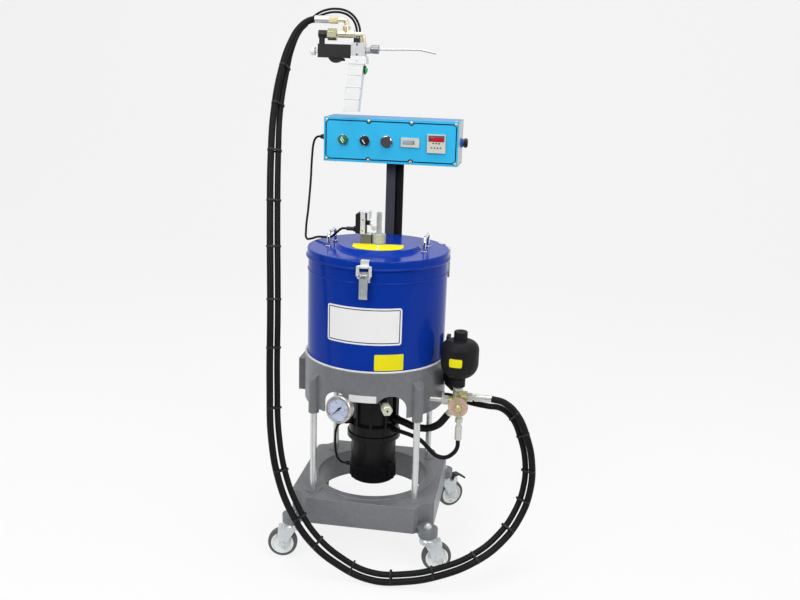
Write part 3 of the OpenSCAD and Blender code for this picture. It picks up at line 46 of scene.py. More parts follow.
yaw, pitch, roll = (math.radians(a) for a in (8.59334, 14.90929, 1.87316))
ahead = Vector((-math.sin(yaw) * math.cos(pitch), math.cos(yaw) * math.cos(pitch), -math.sin(pitch)))
side = Vector((math.cos(yaw), math.sin(yaw), 0))
over = side.cross(ahead)
bpy.ops.object.camera_add()
camera = bpy.context.object
camera.data.sensor_fit = "HORIZONTAL"
camera.data.sensor_width = 36
camera.data.lens = 41.454
camera.matrix_world = Matrix((
    math.cos(roll) * side + math.sin(roll) * over, -math.sin(roll) * side + math.cos(roll) * over,
    -ahead)).transposed().to_4x4()
camera.location = (0.4020, -2.2668, 1.2698)
scene.camera = camera


def pick(obj, wanted, kind="FACE"):
    bpy.ops.mesh.select_mode(type=kind)
    bpy.ops.mesh.select_all(action="DESELECT")
    shape = bmesh.from_edit_mesh(obj.data)
    for part in {"FACE": shape.faces, "EDGE": shape.edges, "VERT": shape.verts}[kind]:
        if wanted(part):
            part.select = True
    shape.select_flush_mode()
    bmesh.update_edit_mesh(obj.data)


bpy.ops.mesh.primitive_plane_add(size=1)
sweep = bpy.context.object
sweep.name = "studio_sweep"
bpy.ops.object.mode_set(mode="EDIT")
bpy.ops.transform.resize(value=(12, 4.8, 1))
bpy.ops.transform.translate(value=(0, 1.2, 0))
pick(sweep, lambda e: all(v.co.y > 3.5 for v in e.verts), "EDGE")
for step in range(8):
    turn = math.radians(90 * (step + 0.5) / 8)
    bpy.ops.mesh.extrude_region_move(
        TRANSFORM_OT_translate={"value": (0, 0.2 * math.cos(turn), 0.2 * math.sin(turn))})
bpy.ops.mesh.extrude_region_move(TRANSFORM_OT_translate={"value": (0, 0, 4)})
bpy.ops.object.mode_set(mode="OBJECT")
bpy.ops.object.shade_smooth()

paper = bpy.data.materials.new("paper_sweep")
paper.use_nodes = True
web = paper.node_tree
web.nodes.clear()
seen = web.nodes.new("ShaderNodeLightPath")
seen_or_mirrored = web.nodes.new("ShaderNodeMath")
seen_or_mirrored.operation = "MAXIMUM"
web.links.new(seen.outputs["Is Camera Ray"], seen_or_mirrored.inputs[0])
web.links.new(seen.outputs["Is Glossy Ray"], seen_or_mirrored.inputs[1])
seen_at_all = web.nodes.new("ShaderNodeMath")
seen_at_all.operation = "MAXIMUM"
web.links.new(seen_or_mirrored.outputs[0], seen_at_all.inputs[0])
web.links.new(seen.outputs["Is Transmission Ray"], seen_at_all.inputs[1])
share = web.nodes.new("ShaderNodeMath")
share.operation = "MULTIPLY"
share.inputs[1].default_value = 0.86
web.links.new(seen_at_all.outputs[0], share.inputs[0])
matt = web.nodes.new("ShaderNodeBsdfDiffuse")
matt.inputs["Color"].default_value = (0.86, 0.86, 0.86, 1)
glow = web.nodes.new("ShaderNodeEmission")
glow.inputs["Color"].default_value = (0.97, 0.97, 0.97, 1)
blend = web.nodes.new("ShaderNodeMixShader")
web.links.new(share.outputs[0], blend.inputs[0])
web.links.new(matt.outputs[0], blend.inputs[1])
web.links.new(glow.outputs[0], blend.inputs[2])
web.links.new(blend.outputs[0], web.nodes.new("ShaderNodeOutputMaterial").inputs[0])
sweep.data.materials.append(paper)

room = bpy.data.worlds.new("studio_room")
scene.world = room
room.use_nodes = True
web = room.node_tree
web.nodes.clear()
heading = web.nodes.new("ShaderNodeTexCoord")
parts = web.nodes.new("ShaderNodeSeparateXYZ")
web.links.new(heading.outputs["Generated"], parts.inputs[0])
depth = web.nodes.new("ShaderNodeMapRange")
depth.inputs["From Min"].default_value = -0.85
depth.inputs["From Max"].default_value = 0.45
depth.inputs["To Min"].default_value = 0.05
depth.inputs["To Max"].default_value = 0.9
web.links.new(parts.outputs["Y"], depth.inputs["Value"])
seen = web.nodes.new("ShaderNodeLightPath")
shown = web.nodes.new("ShaderNodeMix")
shown.data_type = "FLOAT"
shown.inputs[3].default_value = 0.9
web.links.new(seen.outputs["Is Camera Ray"], shown.inputs[0])
web.links.new(depth.outputs[0], shown.inputs[2])
sky = web.nodes.new("ShaderNodeBackground")
web.links.new(shown.outputs[0], sky.inputs["Color"])
web.links.new(sky.outputs[0], web.nodes.new("ShaderNodeOutputWorld").inputs[0])

for lamp_name, spot, size, power in (
        ("soft_box_left", (-1.3, -2.7, 2.5), 1.6, 62), ("soft_box_right", (2.0, -2.2, 2.1), 1.4, 36),
        ("soft_box_over", (0.1, -0.3, 3.4), 2.2, 46)):
    bpy.ops.object.light_add(type="AREA", location=spot)
    lamp = bpy.context.object
    lamp.name = lamp_name
    lamp.data.size = size
    lamp.data.energy = power
    lamp.rotation_euler = (Vector((0, 0, 0.7)) - Vector(spot)).to_track_quat("-Z", "Y").to_euler()


# Casters: pressed zinc-plated swivel forks on 76 mm rubber-tyred wheels, each held in its foot by a
# domed nut on the stem; the rear right one has a black brake pedal.
def speckle_group():
    group = bpy.data.node_groups.new("surface_speckle", "ShaderNodeTree")
    for label in ("Speck Scale", "Cloud Scale", "Edge Width"):
        group.interface.new_socket(label, in_out="INPUT", socket_type="NodeSocketFloat")
    for label in ("Speck", "Cloud", "Edge"):
        group.interface.new_socket(label, in_out="OUTPUT", socket_type="NodeSocketFloat")
    group.interface.new_socket("Soft Normal", in_out="OUTPUT", socket_type="NodeSocketVector")
    given = group.nodes.new("NodeGroupInput")
    result = group.nodes.new("NodeGroupOutput")
    place = group.nodes.new("ShaderNodeTexCoord")
    for label, detail in (("Speck", 2.0), ("Cloud", 3.0)):
        noise = group.nodes.new("ShaderNodeTexNoise")
        noise.inputs["Detail"].default_value = detail
        group.links.new(place.outputs["Object"], noise.inputs["Vector"])
        group.links.new(given.outputs[label + " Scale"], noise.inputs["Scale"])
        group.links.new(noise.outputs["Fac"], result.inputs[label])
    rounded = group.nodes.new("ShaderNodeBevel")
    rounded.samples = 4
    group.links.new(given.outputs["Edge Width"], rounded.inputs["Radius"])
    face = group.nodes.new("ShaderNodeNewGeometry")
    agree = group.nodes.new("ShaderNodeVectorMath")
    agree.operation = "DOT_PRODUCT"
    group.links.new(rounded.outputs[0], agree.inputs[0])
    group.links.new(face.outputs["Normal"], agree.inputs[1])
    edge = group.nodes.new("ShaderNodeMapRange")
    edge.inputs["From Min"].default_value = 0.985
    edge.inputs["From Max"].default_value = 0.86
    group.links.new(agree.outputs["Value"], edge.inputs["Value"])
    group.links.new(edge.outputs[0], result.inputs["Edge"])
    group.links.new(rounded.outputs[0], result.inputs["Soft Normal"])
    return group


speckle = speckle_group()


# edge is the colour of a painted edge highlight, mixed in where the bevel normal turns away from the face.
def finish(name, tone, shade, rough, metal=0.0, speck=900.0, cloud=14.0, relief=0.12, edge=None,
           edge_mm=0.8, swing=0.03, shine=0.5):
    made = bpy.data.materials.new(name)
    made.use_nodes = True
    web = made.node_tree
    shader = web.nodes["Principled BSDF"]
    shader.inputs["Metallic"].default_value = metal
    shader.inputs["Specular IOR Level"].default_value = shine
    grain = web.nodes.new("ShaderNodeGroup")
    grain.node_tree = speckle
    grain.name = "grain"
    grain.inputs["Speck Scale"].default_value = speck
    grain.inputs["Cloud Scale"].default_value = cloud
    grain.inputs["Edge Width"].default_value = edge_mm / 1000
    tint = web.nodes.new("ShaderNodeMix")
    tint.name = "tint"
    tint.data_type = "RGBA"
    tint.inputs[6].default_value = (*tone, 1)
    tint.inputs[7].default_value = (*shade, 1)
    web.links.new(grain.outputs["Cloud"], tint.inputs[0])
    colour = tint.outputs[2]
    # Painted edge highlight: edges are mixed toward the lighter edge colour.
    if edge:
        painted_edge_highlight = web.nodes.new("ShaderNodeMix")
        painted_edge_highlight.name = "painted_edge_highlight"
        painted_edge_highlight.data_type = "RGBA"
        painted_edge_highlight.inputs[7].default_value = (*edge, 1)
        web.links.new(grain.outputs["Edge"], painted_edge_highlight.inputs[0])
        web.links.new(colour, painted_edge_highlight.inputs[6])
        colour = painted_edge_highlight.outputs[2]
    web.links.new(colour, shader.inputs["Base Color"])
    gloss = web.nodes.new("ShaderNodeMapRange")
    gloss.name = "gloss"
    gloss.inputs["From Min"].default_value = 0.3
    gloss.inputs["From Max"].default_value = 0.7
    gloss.inputs["To Min"].default_value = rough - swing
    gloss.inputs["To Max"].default_value = rough + swing
    web.links.new(grain.outputs["Speck"], gloss.inputs["Value"])
    web.links.new(gloss.outputs[0], shader.inputs["Roughness"])
    dents = web.nodes.new("ShaderNodeBump")
    dents.name = "dents"
    dents.inputs["Strength"].default_value = relief
    dents.inputs["Distance"].default_value = 0.0004
    web.links.new(grain.outputs["Speck"], dents.inputs["Height"])
    web.links.new(grain.outputs["Soft Normal"], dents.inputs["Normal"])
    web.links.new(dents.outputs[0], shader.inputs["Normal"])
    return made


def dress(material, *names):
    for name in names:
        node[name].material_slots[0].material = material


def facing(spot, out, up=(0, 0, 1)):
    z = Vector(out).normalized()
    x = Vector(up).cross(z).normalized()
    turn = Matrix((x, z.cross(x), z)).transposed().to_4x4()
    turn.translation = Vector(spot) / 1000
    return turn


def settle(obj, place, angle=32):
    obj.matrix_world = place
    bpy.ops.object.select_all(action="DESELECT")
    obj.select_set(True)
    bpy.context.view_layer.objects.active = obj
    bpy.ops.object.transform_apply(location=True, rotation=True, scale=True)
    bpy.ops.object.shade_smooth_by_angle(angle=math.radians(angle))
    return obj


def turned(name, rings, place, sides=48, angle=32):
    closed = rings[0] == rings[-1]
    bpy.ops.object.select_all(action="DESELECT")
    bpy.ops.mesh.primitive_circle_add(vertices=sides, radius=rings[0][0] / 1000, location=(0, 0, 0))
    obj = bpy.context.object
    obj.name = name
    bpy.ops.object.mode_set(mode="EDIT")
    bpy.ops.mesh.select_mode(type="EDGE")
    bpy.ops.mesh.select_all(action="SELECT")
    bpy.ops.transform.translate(value=(0, 0, rings[0][1] / 1000))
    for (r0, z0), (r1, z1) in zip(rings, rings[1:]):
        bpy.ops.mesh.extrude_edges_move(TRANSFORM_OT_translate={"value": (0, 0, (z1 - z0) / 1000)})
        bpy.ops.transform.resize(value=(r1 / r0, r1 / r0, 1), center_override=(0, 0, z1 / 1000))
    bpy.ops.mesh.select_all(action="SELECT")
    bpy.ops.mesh.remove_doubles(threshold=1e-6)
    if not closed:
        bpy.ops.mesh.select_all(action="SELECT")
        bpy.ops.mesh.fill_holes(sides=0)
    bpy.ops.mesh.select_all(action="SELECT")
    bpy.ops.mesh.normals_make_consistent(inside=False)
    bpy.ops.object.mode_set(mode="OBJECT")
    return settle(obj, place, angle)


def block(name, size, place, bevel=1.0, steps=2):
    bpy.ops.object.select_all(action="DESELECT")
    bpy.ops.mesh.primitive_cube_add(size=1, location=(0, 0, 0))
    obj = bpy.context.object
    obj.name = name
    bpy.ops.object.mode_set(mode="EDIT")
    bpy.ops.mesh.select_all(action="SELECT")
    bpy.ops.transform.resize(value=[s / 1000 for s in size])
    bpy.ops.mesh.bevel(offset=bevel / 1000, segments=steps, affect="EDGES")
    bpy.ops.object.mode_set(mode="OBJECT")
    return settle(obj, place)


def wear(obj, material, body="frame"):
    if obj.data.materials:
        obj.data.materials[0] = material
    else:
        obj.data.materials.append(material)
    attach(obj, body)
    return obj


def copied(obj, name, place):
    twin = obj.copy()
    twin.data = obj.data.copy()
    twin.name = name
    scene.collection.objects.link(twin)
    return settle(twin, place)


zinc_sheet = finish("zinc_sheet", (0.68, 0.72, 0.73), (0.56, 0.6, 0.62), 0.34, metal=0.35, speck=700,
                    cloud=60, relief=0.05, edge=(0.76, 0.78, 0.78))
tyre_rubber = finish("tyre_rubber", (0.075, 0.077, 0.082), (0.1, 0.103, 0.108), 0.6, speck=1200, relief=0.25)
hub_plastic = finish("hub_plastic", (0.9, 0.93, 0.92), (0.85, 0.89, 0.89), 0.4, speck=700)
black_paint = finish("black_paint", (0.009, 0.009, 0.01), (0.014, 0.014, 0.016), 0.34, speck=800, relief=0.1,
                     edge=(0.04, 0.04, 0.044), shine=0.3)
dress(zinc_sheet, "caster_fork_fl", "caster_fork_fr", "caster_fork_rl", "caster_fork_rr")
dress(black_paint, "brake_pedal")

tyre_rings = [
    (28.6, -10.2), (33.5, -11), (35.6, -10.4), (37.2, -8.2), (37.9, -4.5), (38, 0), (37.9, 4.5), (37.2, 8.2),
    (35.6, 10.4), (33.5, 11), (28.6, 10.2), (28.6, -10.2)]
hub_rings = [
    (4.2, -10), (9, -10), (10.4, -9.2), (11, -5.4), (12.5, -4.4), (23, -4.4), (25.4, -5.6), (26.2, -10.2),
    (29, -10.6), (29.4, -9.8), (29.4, 9.8), (29, 10.6), (26.2, 10.2), (25.4, 5.6), (23, 4.4), (12.5, 4.4),
    (11, 5.4), (10.4, 9.2), (9, 10), (4.2, 10), (4.2, -10)]
dome_rings = [
    (9, 0), (9, 1.6), (7.4, 1.8), (7.4, 6), (7, 8.2), (6, 10.4), (4.4, 12), (2.4, 13), (0.6, 13.3)]
stem_reach, trail, axle_height, foot_face = 177, 24, 38, 117.6
flat = Matrix.Identity(4)
first_tyre = turned("caster_tyre_fl", tyre_rings, flat, 64)
first_hub = turned("caster_hub_fl", hub_rings, flat, 64)
first_dome = turned("stem_nut_fl", dome_rings, flat, 32)
for mark, sx, sy, trail_turn in (("fl", -1, -1, 188), ("fr", 1, -1, 18), ("rl", -1, 1, 125),
                                 ("rr", 1, 1, 35)):
    turn = math.radians(trail_turn)
    hub_spot = (sx * stem_reach + trail * math.cos(turn), sy * stem_reach + trail * math.sin(turn),
                axle_height)
    on_axle = facing(hub_spot, (-math.sin(turn), math.cos(turn), 0))
    tyre = copied(first_tyre, "tyre_" + mark, on_axle)
    hub = copied(first_hub, "hub_" + mark, on_axle)
    wear(tyre, tyre_rubber, "caster_wheel_" + mark)
    wear(hub, hub_plastic, "caster_wheel_" + mark)
    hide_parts("caster_wheel_" + mark)
    in_foot = facing((sx * stem_reach, sy * stem_reach, foot_face), (0, 0, 1), (0, 1, 0))
    dome = copied(first_dome, "domed_nut_" + mark, in_foot)
    wear(dome, zinc_sheet, "caster_fork_" + mark)
for pattern in (first_tyre, first_hub, first_dome):
    bpy.data.objects.remove(pattern, do_unlink=True)

# Base frame: one sand casting, square with cut corners and a round opening under the motor,
# sprayed with grey hammer paint; the raised contour round the opening catches the light.
# The lighter edge colour on this paint is a painted highlight along the casting's edges.
grey_cast = finish("grey_cast_paint", (0.125, 0.13, 0.143), (0.185, 0.191, 0.205), 0.34, speck=420, cloud=70,
                   relief=0.4, edge=(0.34, 0.36, 0.36), edge_mm=1.6, shine=0.5)
dress(grey_cast, "base_frame")

# Posts: four bright turned steel bars, pressed into the base's corners below
# and into the collar's bosses above.
post_steel = finish("post_steel", (0.7, 0.72, 0.71), (0.6, 0.62, 0.61), 0.24, metal=0.7, speck=300, cloud=30,
                    relief=0.02)
dress(post_steel, "support_posts")

# Collar: a cast ring on four bosses that carries the drum, painted as the base; a pale ring lies at the rim
# between drum and collar, and a bare plate is riveted to the front.
dress(grey_cast, "collar")
pale_rim = finish("pale_rim", (0.62, 0.63, 0.62), (0.72, 0.72, 0.7), 0.45, speck=900)
bead = turned("rim_pale_ring", [
    (178.3, 518.6), (184.2, 518.6), (184.6, 519.6), (184.2, 520.8), (182.8, 521.6), (179.4, 521.6),
    (178.3, 520.8), (178.3, 518.6)], flat, 128)
wear(bead, pale_rim)


def wrapped(name, width, height, corner, thick, spot_turn, spot_z, radius, middle=(0, 0), line=None):
    bpy.ops.object.select_all(action="DESELECT")
    bpy.ops.mesh.primitive_plane_add(size=1, location=(0, 0, 0))
    obj = bpy.context.object
    obj.name = name
    bpy.ops.object.mode_set(mode="EDIT")
    bpy.ops.mesh.select_all(action="SELECT")
    bpy.ops.transform.resize(value=(width / 1000, height / 1000, 1))
    bpy.ops.mesh.bevel(offset=corner / 1000, segments=5, affect="VERTICES")
    if line:
        inset, stroke, plain, ink = line
        obj.data.materials.append(plain)
        obj.data.materials.append(ink)
        bpy.ops.mesh.select_all(action="SELECT")
        bpy.ops.mesh.inset(thickness=inset / 1000)
        obj.active_material_index = 1
        bpy.ops.object.material_slot_assign()
        bpy.ops.mesh.inset(thickness=stroke / 1000)
        obj.active_material_index = 0
        bpy.ops.object.material_slot_assign()
    cuts = max(3, int(width / radius / 0.06))
    for k in range(1, cuts):
        bpy.ops.mesh.select_all(action="SELECT")
        bpy.ops.mesh.bisect(plane_co=((k / cuts - 0.5) * width / 1000, 0, 0), plane_no=(1, 0, 0))
    bpy.ops.mesh.select_all(action="SELECT")
    bpy.ops.mesh.extrude_region_move(TRANSFORM_OT_translate={"value": (0, 0, thick / 1000)})
    bpy.ops.mesh.select_all(action="SELECT")
    bpy.ops.mesh.normals_make_consistent(inside=False)
    bpy.ops.object.mode_set(mode="OBJECT")
    for v in obj.data.vertices:
        turn = math.radians(spot_turn) + v.co.x * 1000 / radius
        reach = radius / 1000 + v.co.z
        v.co = (
            middle[0] / 1000 + reach * math.cos(turn), middle[1] / 1000 + reach * math.sin(turn),
            spot_z / 1000 + v.co.y)
    return settle(obj, flat, 40)


bare_metal = finish("bare_plate", (0.82, 0.82, 0.81), (0.74, 0.74, 0.74), 0.42, metal=0.2, speck=300,
                    cloud=60)
plate_height, collar_skin, plate_skin = 450.6, 184.6, 185.1
collar_plate = wrapped("collar_plate", 69, 18, 1.5, 0.6, -89.4, plate_height, collar_skin)
wear(collar_plate, bare_metal)
rivet_rings = [(1.9, 0), (1.9, 0.5), (1.5, 1.0), (0.8, 1.3), (0.2, 1.4)]
for mark, rivet_turn in (("left", -99.3), ("right", -79.5)):
    turn = math.radians(rivet_turn)
    out = (math.cos(turn), math.sin(turn), 0)
    on_plate = facing((plate_skin * out[0], plate_skin * out[1], plate_height), out)
    rivet = turned("plate_rivet_" + mark, rivet_rings, on_plate, 16)
    wear(rivet, bare_metal)

# Motor and pump: black-painted castings hung below the collar, pump housing with ribs on top,
# the motor under it with a ribbed end cap.
gloss_black = finish("gloss_black", (0.005, 0.005, 0.006), (0.009, 0.009, 0.01), 0.24, speck=600, relief=0.08,
                     edge=(0.03, 0.03, 0.034), shine=0.16)
dress(gloss_black, "pump_housing", "motor_body")

# Drum: rolled sheet steel with a swaged ring below the mouth, royal blue gloss enamel;
# a plain white plate with a blue line is stuck to the front, a plain yellow one low on the right.
blue_enamel = finish("blue_enamel", (0.004, 0.031, 0.29), (0.005, 0.036, 0.32), 0.14, speck=260, cloud=6,
                     relief=0.02, edge=(0.02, 0.07, 0.4), shine=0.07)
dress(blue_enamel, "drum")
white_card = finish("white_card", (0.84, 0.84, 0.84), (0.8, 0.8, 0.81), 0.35, speck=500, relief=0.02)
blue_ink = finish("blue_ink", (0.004, 0.006, 0.05), (0.006, 0.009, 0.07), 0.45, speck=500, relief=0.02,
                  shine=0.2)
drum_skin = 178.1
drum_plate = wrapped("drum_plate", 193, 93, 7, 0.5, -90.9, 634.5, drum_skin,
                     line=(4.2, 2.4, white_card, blue_ink))
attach(drum_plate, "frame")
yellow_card = finish("yellow_card", (0.8, 0.73, 0.012), (0.74, 0.67, 0.014), 0.55, speck=500, relief=0.02,
                     shine=0.08)
drum_field = wrapped("drum_field", 73, 41, 2.5, 0.4, -69.4, 544, drum_skin)
wear(drum_field, yellow_card)

# Lid: pressed sheet with a raised plateau and a rolled bead, same enamel as the drum; a plain yellow
# field in two halves, with a white line between them, lies on the plateau in front of the rod.
dress(blue_enamel, "lid")


def flat_plate(name, outlines, thick, place):
    line = bpy.data.curves.new(name, "CURVE")
    line.dimensions = "2D"
    line.fill_mode = "BOTH"
    line.extrude = thick / 2000
    for outline in outlines:
        path = line.splines.new("POLY")
        path.points.add(len(outline) - 1)
        path.use_cyclic_u = True
        for point, (x, y) in zip(path.points, outline):
            point.co = (x / 1000, y / 1000, 0, 1)
    obj = bpy.data.objects.new(name, line)
    scene.collection.objects.link(obj)
    bpy.ops.object.select_all(action="DESELECT")
    obj.select_set(True)
    bpy.context.view_layer.objects.active = obj
    bpy.ops.object.convert(target="MESH")
    return settle(bpy.context.object, place)


def arc(middle, radius, start, stop, steps):
    turns = [math.radians(start + (stop - start) * k / steps) for k in range(steps + 1)]
    return [(middle[0] + radius * math.cos(t), middle[1] + radius * math.sin(t)) for t in turns]


on_plateau = facing((0, 0, 804.95), (0, 0, 1), (0, 1, 0)) @ Matrix.Rotation(math.radians(7.5), 4, "Z")
left_half = [(-64, -14), (-64, -52), (-56, -71)]
left_half += arc((0, 0), 91, -128, -90.9, 12) + arc((0, 0), 21, -94, -140, 6)
right_half = arc((0, 0), 91, -89.1, -52, 12) + [(64, -52), (64, -14)] + arc((0, 0), 21, -40, -86, 6)
for mark, outline in (("left", left_half), ("right", right_half)):
    wear(flat_plate("plateau_field_" + mark, [outline], 0.4, on_plateau), yellow_card)
split_line = [(-1.5, -90.6), (1.5, -90.6), (1.5, -21.4), (-1.5, -21.4)]
wear(flat_plate("plateau_split", [split_line], 0.3, on_plateau), white_card)

# Lid handles: two bent chrome rods with flange rings,
# set upright near the lid's rim and nutted under it.
chrome = finish("chrome", (0.78, 0.79, 0.8), (0.7, 0.71, 0.73), 0.1, metal=1.0, speck=200, cloud=20,
                relief=0.02, swing=0.04)
dress(chrome, "lid_handles")

# Latches: three over-centre toggle latches, grey zinc levers with a pressed dimple, white-zinc wire
# bails in two barrels, hooks screwed to the lid and plates riveted to the drum.
white_zinc = finish("white_zinc", (0.8, 0.82, 0.79), (0.72, 0.74, 0.72), 0.3, metal=0.3, speck=700, cloud=60,
                    relief=0.04, edge=(0.86, 0.87, 0.85))
lever_zinc = finish("lever_zinc", (0.47, 0.51, 0.52), (0.39, 0.43, 0.44), 0.34, metal=0.35, speck=700,
                    cloud=60, relief=0.04, edge=(0.66, 0.69, 0.69))
dress(lever_zinc, "latch_lever_front", "latch_lever_right", "latch_lever_left")
dress(white_zinc, "latch_fixings", "latch_bail_front", "latch_bail_right", "latch_bail_left")
lever_reach, dimple_height = 197.05, 728
dimple_rings = [(4.6, 0), (4.6, 0.5), (3.6, 0.9), (3.0, 0.5), (1.2, 0.3)]
for mark, latch_turn in (("front", -90), ("right", 30), ("left", 150)):
    turn = math.radians(latch_turn)
    out = Vector((math.cos(turn), math.sin(turn), 0))
    spot = lever_reach * out + Vector((0, 0, dimple_height))
    wear(turned("lever_dimple_" + mark, dimple_rings, facing(spot, out), 24), lever_zinc,
         "latch_lever_" + mark)

# Follower rod, its sleeve on the plateau and the limit switch beside it: polished rod, pale zinc
# sleeve, a black switch on a grey foot with a bent zinc strip held by two brass screws.
rod_steel = finish("rod_steel", (0.66, 0.68, 0.68), (0.56, 0.58, 0.58), 0.26, metal=0.5, speck=300, cloud=30,
                   relief=0.0, swing=0.0)
dress(rod_steel, "follower")
sleeve_zinc = finish("sleeve_zinc", (0.5, 0.52, 0.54), (0.44, 0.46, 0.48), 0.45, metal=0.25, speck=500,
                     cloud=50, relief=0.06, edge=(0.6, 0.61, 0.62))
dress(sleeve_zinc, "rod_sleeve")
black_plastic = finish("black_plastic", (0.008, 0.008, 0.009), (0.014, 0.014, 0.016), 0.42, speck=1100,
                       relief=0.16, edge=(0.035, 0.035, 0.04), shine=0.35)
yellow_brass = finish("yellow_brass", (0.72, 0.5, 0.2), (0.6, 0.4, 0.15), 0.26, metal=1.0, speck=350,
                      cloud=50, relief=0.05, edge=(0.86, 0.66, 0.34))
dress(black_plastic, "limit_switch")
bracket_zinc = finish("bracket_zinc", (0.76, 0.78, 0.79), (0.68, 0.7, 0.71), 0.4, metal=0.1, speck=700,
                      cloud=60, relief=0.04, edge=(0.78, 0.8, 0.8))
dress(white_zinc, "switch_lever")


def toned_where(material, tests, tone):
    web = material.node_tree
    base = web.nodes["Principled BSDF"].inputs["Base Color"]
    before = base.links[0].from_socket
    place = web.nodes.new("ShaderNodeTexCoord")
    parts = web.nodes.new("ShaderNodeSeparateXYZ")
    web.links.new(place.outputs["Object"], parts.inputs[0])
    inside = None
    for axis, sense, limit in tests:
        test = web.nodes.new("ShaderNodeMath")
        test.operation = sense
        test.inputs[1].default_value = limit / 1000
        web.links.new(parts.outputs[axis], test.inputs[0])
        if inside:
            both = web.nodes.new("ShaderNodeMath")
            both.operation = "MULTIPLY"
            web.links.new(inside, both.inputs[0])
            web.links.new(test.outputs[0], both.inputs[1])
            inside = both.outputs[0]
        else:
            inside = test.outputs[0]
    patch = web.nodes.new("ShaderNodeMix")
    patch.data_type = "RGBA"
    patch.inputs[7].default_value = (*tone, 1)
    web.links.new(inside, patch.inputs[0])
    web.links.new(before, patch.inputs[6])
    web.links.new(patch.outputs[2], base)


foot_top, strip_top, strip_left = 828.7, 882.8, -45.6
toned_where(bracket_zinc, [("Z", "LESS_THAN", foot_top)], (0.13, 0.135, 0.14))
toned_where(bracket_zinc, [("X", "LESS_THAN", strip_left), ("Z", "GREATER_THAN", foot_top),
                           ("Z", "LESS_THAN", strip_top)],
            (0.012, 0.012, 0.014))
dress(bracket_zinc, "switch_bracket")


def slotted_screw(name, radius, rise, slot):
    head = turned(name, [
        (radius, 0), (radius, rise * 0.3), (radius * 0.9, rise * 0.62), (radius * 0.66, rise * 0.88),
        (radius * 0.36, rise), (radius * 0.1, rise)], flat, 24)
    cutter = block(name + "_slot", (radius * 3, slot, rise), facing((0, 0, rise), (0, 0, 1), (0, 1, 0)),
                   slot * 0.1, 1)
    cut = head.modifiers.new("slot", "BOOLEAN")
    cut.operation = "DIFFERENCE"
    cut.object = cutter
    bpy.context.view_layer.objects.active = head
    bpy.ops.object.modifier_apply(modifier="slot")
    bpy.data.objects.remove(cutter, do_unlink=True)
    return head


small_screw = slotted_screw("small_screw", 2.6, 1.8, 0.9)
for mark, z in (("low", 838), ("high", 866)):
    wear(copied(small_screw, "switch_screw_" + mark, facing((-39.5, -16.5, z), (0, -1, 0))), yellow_brass)

# Gauge: steel case and bezel, pale dial with printed scale behind glass, black pointer.
# Its pipe comes from the pump through the left arch.
gauge_turn, gauge_tilt = math.radians(-16), math.radians(6)
gauge_out = Vector((math.sin(gauge_turn) * math.cos(gauge_tilt), -math.cos(gauge_turn) * math.cos(gauge_tilt),
                    math.sin(gauge_tilt)))
gauge_reach, gauge_height = 205, 422.5
gauge_spot = Vector((gauge_reach * math.sin(gauge_turn), -gauge_reach * math.cos(gauge_turn), gauge_height))
bezel_steel = finish("bezel_steel", (0.62, 0.61, 0.57), (0.5, 0.49, 0.46), 0.28, metal=0.6, speck=400,
                     cloud=40, relief=0.02, edge=(0.8, 0.79, 0.75))
dress(bezel_steel, "gauge_case")
dress(black_plastic, "gauge_pointer")
dial_card = finish("dial_card", (0.6, 0.66, 0.84), (0.66, 0.72, 0.88), 0.5, speck=500, relief=0.02)
dial_ink = finish("dial_ink", (0.03, 0.03, 0.05), (0.05, 0.05, 0.07), 0.5, speck=500, relief=0.02)
dial_red = finish("dial_red", (0.5, 0.1, 0.12), (0.42, 0.1, 0.12), 0.5, speck=500, relief=0.02)
on_dial = facing(gauge_spot - 4.9 * gauge_out, gauge_out)
wear(turned("gauge_dial", [(29.8, 0), (29.8, 0.3), (2.2, 0.3), (2.2, 0), (29.8, 0)], on_dial, 64), dial_card)
ticks = []
for k in range(41):
    turn = math.radians(225 - 270 * k / 40)
    reach, half = (21.5, 0.5) if k % 8 == 0 else (24.2, 0.25)
    c, s = math.cos(turn), math.sin(turn)
    corners = ((reach, half), (26.5, half), (26.5, -half), (reach, -half))
    ticks.append([(r * c - w * s, r * s + w * c) for r, w in corners])
wear(flat_plate("gauge_scale", ticks, 0.1, on_dial @ Matrix.Translation((0, 0, 0.00036))), dial_ink)
red_band = arc((0, 0), 27.6, 225, -45, 60) + arc((0, 0), 26.7, -45, 225, 60)
wear(flat_plate("gauge_band", [red_band], 0.1, on_dial @ Matrix.Translation((0, 0, 0.00036))), dial_red)
for k in range(6):
    turn = math.radians(225 - 54 * k)
    bpy.ops.object.select_all(action="DESELECT")
    bpy.ops.object.text_add()
    figure = bpy.context.object
    figure.data.body = str(5 * k)
    figure.data.size = 0.0056
    figure.data.align_x = "CENTER"
    figure.data.align_y = "CENTER"
    figure.data.extrude = 0.00004
    figure.name = "gauge_figure_%d" % k
    bpy.ops.object.convert(target="MESH")
    settle(figure, on_dial @ Matrix.Translation((0.0176 * math.cos(turn), 0.0176 * math.sin(turn), 0.00036)))
    wear(figure, dial_red)
clear_glass = finish("clear_glass", (0.95, 0.97, 0.98), (0.98, 0.99, 1.0), 0.04, speck=100, relief=0.0,
                     swing=0.02)
clear_glass.node_tree.nodes["Principled BSDF"].inputs["Transmission Weight"].default_value = 1.0
clear_glass.node_tree.nodes["Principled BSDF"].inputs["IOR"].default_value = 1.1
wear(turned("gauge_glass", [(30.6, 0), (30.6, 0.8), (24, 1.1), (10, 1.3), (1, 1.3)],
            facing(gauge_spot - 1.7 * gauge_out, gauge_out), 64), clear_glass)

